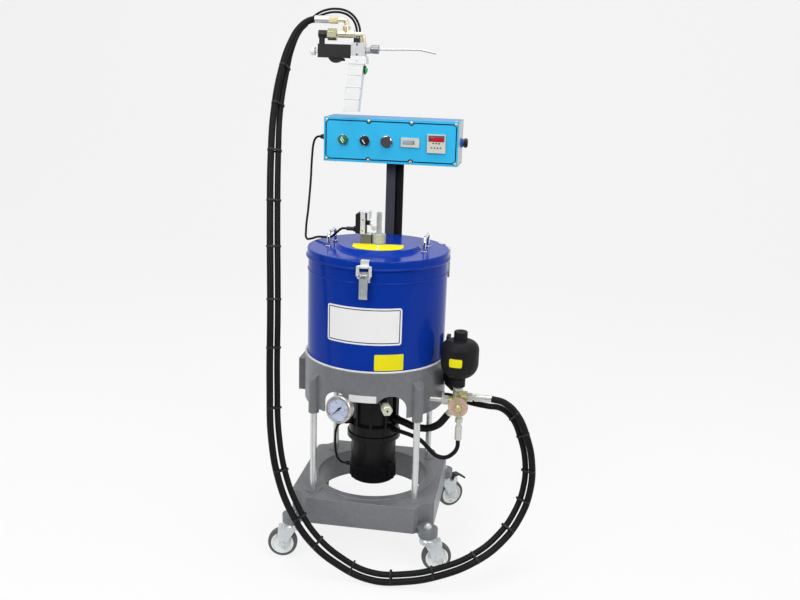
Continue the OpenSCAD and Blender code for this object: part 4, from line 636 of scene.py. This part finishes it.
# Relief valve: from the pump out through the right arch, a black adapter, a brass ring, a nickel hexagon
# and a yellow-chromated end hexagon with its bore.
def banded(material, direction, bands):
    web = material.node_tree
    shader = web.nodes["Principled BSDF"]
    place = web.nodes.new("ShaderNodeTexCoord")
    along = web.nodes.new("ShaderNodeVectorMath")
    along.operation = "DOT_PRODUCT"
    along.inputs[1].default_value = Vector(direction)
    web.links.new(place.outputs["Object"], along.inputs[0])
    start, stop = bands[0][0], bands[-1][0] + 1.0
    span = web.nodes.new("ShaderNodeMapRange")
    span.inputs["From Min"].default_value = start / 1000
    span.inputs["From Max"].default_value = stop / 1000
    web.links.new(along.outputs["Value"], span.inputs["Value"])
    ramps = []
    for kind in ("colour", "metal"):
        ramp = web.nodes.new("ShaderNodeValToRGB")
        ramp.color_ramp.interpolation = "CONSTANT"
        points = ramp.color_ramp.elements
        shades = [(*tone, 1) if kind == "colour" else (metal, metal, metal, 1) for at, tone, metal in bands]
        points[0].color, points[1].color = shades[0], shades[-1]
        for band, shade in zip(bands[1:], shades[1:]):
            points.new((band[0] - start) / (stop - start)).color = shade
        web.links.new(span.outputs[0], ramp.inputs[0])
        ramps.append(ramp)
    dull = web.nodes.new("ShaderNodeMix")
    dull.data_type = "RGBA"
    dull.blend_type = "MULTIPLY"
    dull.inputs[0].default_value = 1.0
    web.links.new(ramps[0].outputs[0], dull.inputs[6])
    # The band colours are multiplied by the finish colour, which carries the painted edge highlight.
    web.links.new(web.nodes["painted_edge_highlight"].outputs[2], dull.inputs[7])
    web.links.new(dull.outputs[2], shader.inputs["Base Color"])
    web.links.new(ramps[1].outputs[0], shader.inputs["Metallic"])
    return material


nickel_tone = (0.62, 0.61, 0.57)
olive_tone = (0.6, 0.56, 0.33)
brass_tone = (0.7, 0.42, 0.2)
black_tone = (0.01, 0.01, 0.011)
relief_turn = math.radians(19)
relief_out = (math.sin(relief_turn), -math.cos(relief_turn), 0)
relief_finish = banded(
    finish("relief_valve_metal", (1, 1, 1), (0.8, 0.8, 0.8), 0.28, speck=400, cloud=60, relief=0.05,
           edge=(1.15, 1.15, 1.15)),
    relief_out, [(0, black_tone, 0.0), (167, brass_tone, 0.7), (174, (0.7, 0.7, 0.64), 0.5),
                 (188, (0.72, 0.74, 0.58), 0.4)])
dress(relief_finish, "relief_valve")

# Accumulator group: a satin-black bladder bottle clamped to a strap on the collar, a yellow-chromated valve
# block with a copper-faced shut-off disc below it, nickel and zinc fittings.
satin_black = finish("satin_black", (0.01, 0.01, 0.011), (0.015, 0.015, 0.017), 0.5, speck=800, relief=0.1,
                     edge=(0.03, 0.03, 0.034), shine=0.12)
dress(satin_black, "accumulator", "accumulator_bracket")
bottle_field = wrapped("bottle_field", 33, 21.5, 4, 0.4, -97.5, 545.5, 47.55, (228, -90))
wear(bottle_field, yellow_card)
olive_zinc = finish("olive_zinc", (0.58, 0.55, 0.28), (0.48, 0.46, 0.24), 0.32, metal=0.6, speck=500,
                    cloud=60, relief=0.03, edge=(0.78, 0.76, 0.52))
nickel = finish("nickel", (0.68, 0.68, 0.64), (0.6, 0.6, 0.56), 0.28, metal=0.5, speck=500, cloud=40,
                relief=0.0, edge=(0.82, 0.81, 0.77), swing=0.0)
dress(olive_zinc, "valve_block")
dress(nickel, "hose_fittings")
disc_finish = banded(
    finish("shutoff_metal", (1, 1, 1), (0.82, 0.82, 0.82), 0.26, speck=400, cloud=60, relief=0.05,
           edge=(1.15, 1.15, 1.15)),
    (0, -1, 0), [(100, nickel_tone, 1.0), (116, (0.66, 0.47, 0.38), 0.35), (119.6, olive_tone, 0.6),
                 (123.8, (0.8, 0.68, 0.34), 0.7)])
dress(disc_finish, "shutoff_wheel")

# Mast and conduit: a black-painted square tube bolted to the collar's rear pad, the box's cables
# in a black conduit strapped to its right side.
purple_black = finish("purple_black", (0.052, 0.05, 0.064), (0.064, 0.062, 0.078), 0.45, speck=700,
                      relief=0.1, edge=(0.1, 0.098, 0.115), shine=0.25)
dress(purple_black, "mast")
conduit_rubber = finish("conduit_rubber", (0.007, 0.007, 0.008), (0.011, 0.011, 0.012), 0.5, speck=900,
                        relief=0.18, edge=(0.02, 0.02, 0.02), shine=0.08)
dress(conduit_rubber, "conduit")

# Control box: folded sheet case, sky-blue front and top, pale ends; the panel carries a printed blue line,
# eight brass dome screws, two selectors, a buzzer, a counter and a timer.
case_sheet = finish("case_sheet", (0.022, 0.22, 0.5), (0.026, 0.26, 0.55), 0.34, speck=500, cloud=8,
                    relief=0.06, edge=(0.12, 0.44, 0.7), shine=0.24)
end_face, end_dark_band_top = 178.3, 994
for sense, limit in (("GREATER_THAN", end_face), ("LESS_THAN", -end_face)):
    toned_where(case_sheet, [("X", sense, limit)], (0.5, 0.53, 0.55))
    # Below z 994 the ends are toned near black along their lower edge.
    toned_where(case_sheet, [("X", sense, limit), ("Z", "LESS_THAN", end_dark_band_top)], (0.02, 0.03, 0.035))
dress(case_sheet, "control_case")
sky_panel = finish("sky_panel", (0.03, 0.46, 0.8), (0.036, 0.5, 0.84), 0.34, speck=500, cloud=5, relief=0.03,
                   edge=(0.15, 0.62, 0.88), shine=0.35)
dress(sky_panel, "front_panel")


def beside(path, offset):
    out = []
    for k, p in enumerate(path):
        a, b = Vector(path[k - 1]), Vector(path[(k + 1) % len(path)])
        t = (b - a).normalized()
        out.append((p[0] - t.y * offset, p[1] + t.x * offset))
    return out


panel_face, panel_mid, box_top, box_floor = 134.5, 1049, 1106.5, 991.5
half_w, half_h, cut, scallop = 172.5, 50.0, 7.0, 5.4
inner_left, inner_right = -58.6, 54.4
low_run = [(-half_w + cut, -half_h)]
for c in (inner_left, inner_right):
    low_run += arc((c, -half_h), scallop, 180, 0, 12)
low_run += [(half_w - cut, -half_h), (half_w, -half_h + cut), (half_w, half_h - cut), (half_w - cut, half_h)]
for c in (inner_right, inner_left):
    low_run += arc((c, half_h), scallop, 0, -180, 12)
low_run += [(-half_w + cut, half_h), (-half_w, half_h - cut), (-half_w, -half_h + cut)]
on_panel = facing((0, panel_face - 0.05, panel_mid), (0, -1, 0))
wear(flat_plate("panel_line", [beside(low_run, 1.5), beside(low_run, -1.5)], 0.2, on_panel), blue_ink)
pale_brass = finish("pale_brass", (0.82, 0.72, 0.46), (0.7, 0.6, 0.36), 0.3, metal=0.8, speck=350, cloud=50,
                    relief=0.05, edge=(0.9, 0.84, 0.62))
panel_screw = slotted_screw("panel_screw", 4.0, 2.4, 1.1)
for k, (x, z) in enumerate([
        (-171, -50.5), (inner_left, -50.5), (inner_right, -50.5), (171, -50.5), (-171, 50.5),
        (inner_left, 50.5), (inner_right, 50.5), (171, 50.5)]):
    spun = Matrix.Rotation(math.radians(37 * k), 4, "Z")
    on_screw = facing((x, panel_face, panel_mid + z), (0, -1, 0)) @ spun
    wear(copied(panel_screw, "panel_screw_%d" % k, on_screw), pale_brass)
for k, (x, y) in enumerate([(-170, 250), (170, 250), (-60, 250), (60, 250), (-170, 144), (170, 144)]):
    wear(copied(small_screw, "top_screw_%d" % k, facing((x, y, box_top), (0, 0, 1), (0, 1, 0))), pale_brass)
for k, (x, y) in enumerate([(-150, 150), (150, 150), (-150, 245), (150, 245)]):
    wear(copied(panel_screw, "base_screw_%d" % k, facing((x, y, box_floor), (0, 0, -1), (0, 1, 0))),
         pale_brass)

# Panel controls: green and black selectors in chrome bezels with white index bars, the green one with a
# second white bar as a painted highlight, a grey buzzer grille, a cream counter with a grey window and a
# cream timer with a red window and dark keys.
dress(chrome, "panel_bezels")


def on_front(x, proud, z):
    return facing((x, panel_face - proud, z), (0, -1, 0))


green_knob = finish("green_knob", (0.01, 0.16, 0.07), (0.014, 0.2, 0.09), 0.3, speck=700, relief=0.05,
                    edge=(0.04, 0.3, 0.16))
white_plastic = finish("white_plastic", (0.84, 0.85, 0.85), (0.8, 0.81, 0.81), 0.4, speck=800, relief=0.04,
                       edge=(0.92, 0.92, 0.92))
knob_lean = Matrix.Rotation(math.radians(34), 4, "Z")
knob_rings = [(11.4, 2.2), (11.4, 6.2), (10.9, 6.9), (9.6, 7.3), (0.4, 7.6)]
for mark, x, cap in (("power", -126, green_knob), ("mode", -68, black_plastic)):
    body = "selector_knob_" + mark
    on_knob = on_front(x, 0, panel_mid) @ knob_lean
    knob = wear(turned("knob_cap_" + mark, knob_rings, on_knob, 40), cap, body)
    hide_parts(body)
    grip_spot = on_knob @ Matrix.Translation((0, 0, 0.0104))
    wear(block("knob_grip_" + mark, (8.6, 20.5, 7.6), grip_spot, 1.2, 3), cap, body)
    bar_spot = on_knob @ Matrix.Translation((-0.0021, -0.0012, 0.01425))
    wear(block("index_bar_" + mark, (2.7, 12.5, 0.8), bar_spot, 0.3), white_plastic, body)
# A second white bar on the power knob's grip, right of the index bar, is a painted highlight.
highlight_bar_spot = on_front(-126, 0, panel_mid) @ knob_lean @ Matrix.Translation((0.0027, 0.0016, 0.01425))
wear(block("painted_highlight_bar", (2.1, 12.5, 0.8), highlight_bar_spot, 0.3), white_plastic, "selector_knob_power")
grille_rings = [(13.6, 0)]
for r in (12.6, 9.6, 6.6, 3.6):
    grille_rings += [(r, 1.4), (r - 1.4, 1.4), (r - 1.5, 0.5), (r - 2.8, 0.5)]
grille_rings += [(0.3, 1.2)]
dark_grey = finish("dark_grey", (0.06, 0.06, 0.07), (0.09, 0.09, 0.105), 0.45, speck=900, relief=0.1,
                   shine=0.3)
wear(turned("buzzer_grille", grille_rings, on_front(-10, 8.8, panel_mid), 48), dark_grey)
cream = finish("cream_plastic", (0.66, 0.65, 0.58), (0.6, 0.59, 0.53), 0.4, speck=900, relief=0.06,
               edge=(0.76, 0.75, 0.7))
dress(cream, "panel_meters")
grey_window = finish("grey_window", (0.3, 0.36, 0.4), (0.36, 0.42, 0.46), 0.16, speck=300, relief=0.01)
wear(block("counter_window", (26, 11.4, 1.0), on_front(46.4, 4.6, panel_mid), 0.4), grey_window)
for k, z in enumerate((1051.6, 1046.4)):
    wear(block("counter_key_%d" % k, (3.4, 3.4, 1.4), on_front(62.2, 4.6, z), 0.5), black_plastic)
red_window = finish("red_window", (0.4, 0.012, 0.022), (0.5, 0.02, 0.03), 0.2, speck=300, relief=0.01,
                    shine=0.3)
timer_x = 121.5
wear(block("timer_frame", (41.6, 15.6, 1.6), on_front(timer_x, 5.4, 1062), 0.5), dark_grey)
wear(block("timer_window", (35, 11.6, 0.8), on_front(timer_x, 6.4, 1060.4), 0.3), red_window)
for row, z, count in ((0, 1050.2, 3), (1, 1038.8, 4)):
    for k in range(count):
        key_spot = on_front(timer_x + 7.8 * (k - (count - 1) / 2), 6.4, z)
        wear(block("timer_key_%d_%d" % (row, k), (3.8, 3.2, 1.2), key_spot, 0.4), black_plastic)

# Box glands: black moulded cable glands screwed into the box's left end,
# and a blue-ringed connector in its right end.
gland_finish = banded(
    finish("gland_plastic", (1, 1, 1), (0.8, 0.8, 0.8), 0.42, speck=900, relief=0.12, edge=(1.3, 1.3, 1.3),
           shine=0.35),
    (1, 0, 0), [(-250, black_tone, 0.0), (178, (0.02, 0.12, 0.45), 0.0), (187.6, black_tone, 0.0)])
dress(gland_finish, "box_glands")

# Dispensing gun: a black solenoid valve body, an aluminium block, a white moulded grip with a green button,
# brass fittings above and a bent steel nozzle on a hexagon nut.
dress(black_plastic, "gun_valve")
brushed = finish("brushed_aluminium", (0.64, 0.64, 0.66), (0.57, 0.57, 0.59), 0.45, metal=0.35, speck=900,
                 cloud=80, relief=0.06, edge=(0.85, 0.85, 0.86))
dress(brushed, "gun_block")
dress(white_plastic, "gun_grip", "gun_adjuster")
button_green = finish("button_green", (0.012, 0.42, 0.07), (0.016, 0.48, 0.09), 0.32, speck=800, relief=0.05,
                      edge=(0.06, 0.55, 0.2), shine=0.35)
dress(button_green, "gun_trigger")
gun_brass = finish("gun_brass", (0.86, 0.77, 0.55), (0.75, 0.64, 0.41), 0.24, metal=0.65, speck=900, cloud=40,
                   relief=0.0, edge=(0.95, 0.86, 0.64), swing=0.0)
toned_where(gun_brass, [("X", "LESS_THAN", -145.4), ("Z", "LESS_THAN", 1335)], (0.62, 0.61, 0.42))
dress(gun_brass, "gun_fittings")
nozzle_steel = finish("nozzle_steel", (0.66, 0.66, 0.67), (0.56, 0.56, 0.58), 0.3, metal=0.5, speck=500,
                      cloud=90, relief=0.02, edge=(0.82, 0.82, 0.82))
toned_where(nozzle_steel, [("X", "GREATER_THAN", -55.4), ("X", "LESS_THAN", -35.6)], (0.26, 0.26, 0.26))
dress(nozzle_steel, "gun_nozzle")
tape = finish("thread_tape", (0.84, 0.84, 0.83), (0.76, 0.76, 0.75), 0.5, speck=900, relief=0.2)
for k, (spot, out, bore) in enumerate((
        ((-145.7, 130, 1316.5), (1, 0, 0), 6.05), ((-99.9, 130, 1316.5), (1, 0, 0), 5.55),
        ((-121, 130, 1334.6), (0, 0, 1), 6.55))):
    up = (0, 0, 1) if out[0] else (0, 1, 0)
    rings = [(bore, 0), (bore + 0.9, 0.3), (bore + 1.1, 1.6), (bore + 0.8, 3.4), (bore, 3.8), (bore, 0)]
    wear(turned("thread_tape_%d" % k, rings, facing(spot, out, up), 32), tape)
socket_rings = [(2.4, 0), (2.4, 0.5), (2.1, 0.8), (1.4, 0.8), (1.35, -0.8), (0.2, -0.8)]
for k, (x, y, z) in enumerate(((-90, 116, 1291.5), (-90, 116, 1266.5))):
    wear(turned("block_screw_%d" % k, socket_rings, facing((x, y, z), (0, -1, 0)), 24), black_plastic)
wear(turned("plate_screw", socket_rings, facing((-90, 113, 1252), (0, -1, 0)), 24), zinc_sheet)
button_rings = [(9.5, 0), (10.8, 0), (11.2, 0.4), (11.2, 2.6), (10.8, 3), (9.5, 3), (9.5, 0)]
wear(turned("button_base", button_rings, facing((-71.7, 130, 1228.5), (1, 0, 0)), 40), black_plastic)

# Hoses and leads: the grease hose and the gun's cable sleeve run as one bundle held by ties, from the valve
# group in a low sweep round the front and up to the gun; thin leads and two short hoses join the rest.
hose_rubber = finish("hose_rubber", (0.007, 0.007, 0.008), (0.011, 0.011, 0.012), 0.45, speck=1000,
                     relief=0.16, shine=0.1)


def tube(name, route, diameter, material):
    line = bpy.data.curves.new(name, "CURVE")
    line.dimensions = "3D"
    line.resolution_u = 8
    line.bevel_depth = diameter / 2000
    line.bevel_resolution = 5
    line.use_fill_caps = True
    run = line.splines.new("BEZIER")
    run.bezier_points.add(len(route) - 1)
    for point, spot in zip(run.bezier_points, route):
        point.co = Vector(spot) / 1000
        point.handle_left_type = point.handle_right_type = "AUTO"
    obj = bpy.data.objects.new(name, line)
    scene.collection.objects.link(obj)
    line.materials.append(material)
    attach(obj, "frame")
    return obj


hose_route = [
    (312.5, -90, 444.5), (346, -92, 438), (380, -98, 410), (406, -106, 360), (424, -114, 292),
    (424, -126, 222), (404, -148, 158), (362, -190, 106), (300, -236, 70), (222, -266, 42), (135, -276, 20),
    (50, -276, 14), (-35, -272, 44), (-107, -268, 98), (-158, -262, 172), (-191, -252, 248),
    (-214, -234, 344), (-226, -206, 470), (-236, -165, 660), (-254, -105, 868), (-267, -52, 1022),
    (-274, -2, 1124), (-270, 50, 1222), (-256, 86, 1290), (-236, 114, 1332), (-217, 127, 1347),
    (-203.5, 130, 1350.5)]
sleeve_route = [
    (188.3, -24, 418.5), (202, -24.5, 418.5), (224, -32, 416.5), (260, -50, 415), (304, -72, 418),
    (338, -78, 417), (366, -84, 397), (390, -94, 352), (407, -102, 288), (407, -114, 226), (390, -135, 168),
    (353, -175, 119), (296, -223, 84), (220, -259, 59), (135, -271, 38), (48, -270, 32), (-23, -265, 58),
    (-92, -259, 110), (-142, -252, 182), (-175, -241, 256), (-198, -222, 350), (-211, -193, 475),
    (-221, -152, 666), (-239, -92, 874), (-252, -39, 1029), (-262, 14, 1126), (-262, 67, 1215),
    (-256, 103, 1281), (-242, 129, 1324), (-230, 140, 1339)]
switch_route = [
    (-202, 194, 1049), (-209, 194, 1048.5), (-216, 193, 1043), (-220, 190, 1031), (-222, 183, 1000),
    (-221, 164, 930), (-220, 136, 860), (-217, 102, 808), (-209, 78, 790), (-193, 62, 793), (-173, 51, 801),
    (-150, 36, 805), (-128, 16, 811), (-110, 4, 826), (-96, 0, 837), (-84.5, 0, 838)]
gun_lead_a = [
    (-226, 138, 1344), (-211, 141, 1352), (-194, 145, 1360), (-175, 146.5, 1367), (-154, 147, 1370),
    (-132, 147, 1367.5), (-117, 146.5, 1360.5), (-106, 146, 1349.5), (-99.5, 145.5, 1336), (-97, 145, 1322),
    (-97.5, 144.5, 1308.5)]
gun_lead_b = [
    (-228, 145, 1344), (-213, 147, 1356), (-196, 148, 1368), (-173, 149, 1376), (-152, 149, 1378),
    (-132, 149, 1375.5), (-115, 149, 1368), (-101, 148, 1355), (-92.5, 147, 1339.5), (-89, 146, 1323.5),
    (-90.5, 144.5, 1308.5)]
pressure_route = [
    (234, -90, 324), (233, -90, 306), (222, -88, 286), (200, -85, 272), (176, -80, 275), (156, -75, 291),
    (136, -68, 306), (110, -60, 314), (85, -49, 316), (69, -40, 316)]
suction_route = [
    (205.6, -90, 393.7), (201.5, -89.6, 388.3), (194, -88, 377), (184, -84, 363.5), (171, -80, 353),
    (157, -74, 345), (140, -66, 339.5), (113, -56, 338.5), (88, -46.5, 343.5), (71, -37.5, 345)]
motor_route = [
    (-73.5, -2, 191.5), (-83, -3, 192.5), (-93, -8, 202), (-98, -17, 222), (-99, -29, 252), (-97, -40, 284),
    (-93, -47.5, 308), (-85, -48.5, 322), (-71, -41, 327)]


def nearest(route, spot):
    best = None
    for a, b in zip(route, route[1:]):
        a, b = Vector(a), Vector(b)
        t = max(0, min(1, (spot - a).dot(b - a) / (b - a).length_squared))
        found = a + t * (b - a)
        if best is None or (found - spot).length < (best - spot).length:
            best = found
    return best


def cable_tie(name, spot, ahead_of, first, second):
    lay = facing(spot, ahead_of, (0, 1, 0.2))
    flat_spot = lay.inverted()
    discs = [(flat_spot @ (c / 1000), r) for c, r in (first, second)]
    bpy.ops.object.select_all(action="DESELECT")
    bpy.ops.mesh.primitive_circle_add(vertices=40, radius=0.01, location=(0, 0, 0))
    band = bpy.context.object
    band.name = name
    bpy.ops.object.mode_set(mode="EDIT")
    bpy.ops.mesh.select_all(action="SELECT")
    bpy.ops.transform.translate(value=(0, 0, -0.0024))
    bpy.ops.mesh.extrude_edges_move(TRANSFORM_OT_translate={"value": (0, 0, 0.0048)})
    bpy.ops.object.mode_set(mode="OBJECT")
    for v in band.data.vertices:
        way = Vector((v.co.x, v.co.y, 0)).normalized()
        c, r = max(discs, key=lambda d: d[0].xy.dot(way.xy) + d[1] / 1000)
        v.co.xy = c.xy + (r + 0.15) / 1000 * way.xy
    wall = band.modifiers.new("wall", "SOLIDIFY")
    wall.thickness = 0.0014
    wall.offset = 1
    bpy.ops.object.select_all(action="DESELECT")
    band.select_set(True)
    bpy.context.view_layer.objects.active = band
    bpy.ops.object.mode_set(mode="EDIT")
    bpy.ops.mesh.select_all(action="SELECT")
    bpy.ops.mesh.normals_make_consistent(inside=False)
    bpy.ops.object.mode_set(mode="OBJECT")
    bpy.ops.object.modifier_apply(modifier="wall")
    return settle(band, lay, 50)


hose = tube("grease_hose_run", hose_route, 17, hose_rubber)
sleeve = tube("cable_sleeve_run", sleeve_route, 15, hose_rubber)
tie_spots = (
    1.9, 2.9, 4.3, 5.4, 6.5, 7.9, 9.2, 10.4, 11.6, 12.8, 13.7, 15.2, 16.6, 17.5, 18.1, 18.7, 19.3, 20.1,
    21.2, 22.2)
for k, share_along in enumerate(tie_spots):
    k0 = int(share_along)
    a, b = Vector(hose_route[k0]), Vector(hose_route[k0 + 1])
    here = a + (share_along - k0) * (b - a)
    there = nearest(sleeve_route, here)
    wear(cable_tie("hose_tie_%02d" % k, (here + there) / 2, b - a, (here, 8.5), (there, 7.5)),
                     black_plastic)
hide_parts("grease_hose")
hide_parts("cable_sleeve")
for name, stands_for, route, thick, long in (
        ("switch_cable_run", "switch_cable", switch_route, 6, 0.463),
        ("gun_lead_front", "gun_cables", gun_lead_a, 6, 0.176),
        ("gun_lead_rear", "gun_cables", gun_lead_b, 6, 0.194),
        ("pressure_hose_run", "pressure_hose", pressure_route, 11, 0.218),
        ("suction_hose_run", "suction_hose", suction_route, 19, 0.168),
        ("motor_cable_run", "motor_cable", motor_route, 6, 0.173)):
    lead = tube(name, route, thick, hose_rubber)
    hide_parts(stands_for)

for pattern in (small_screw, panel_screw):
    bpy.data.objects.remove(pattern, do_unlink=True)
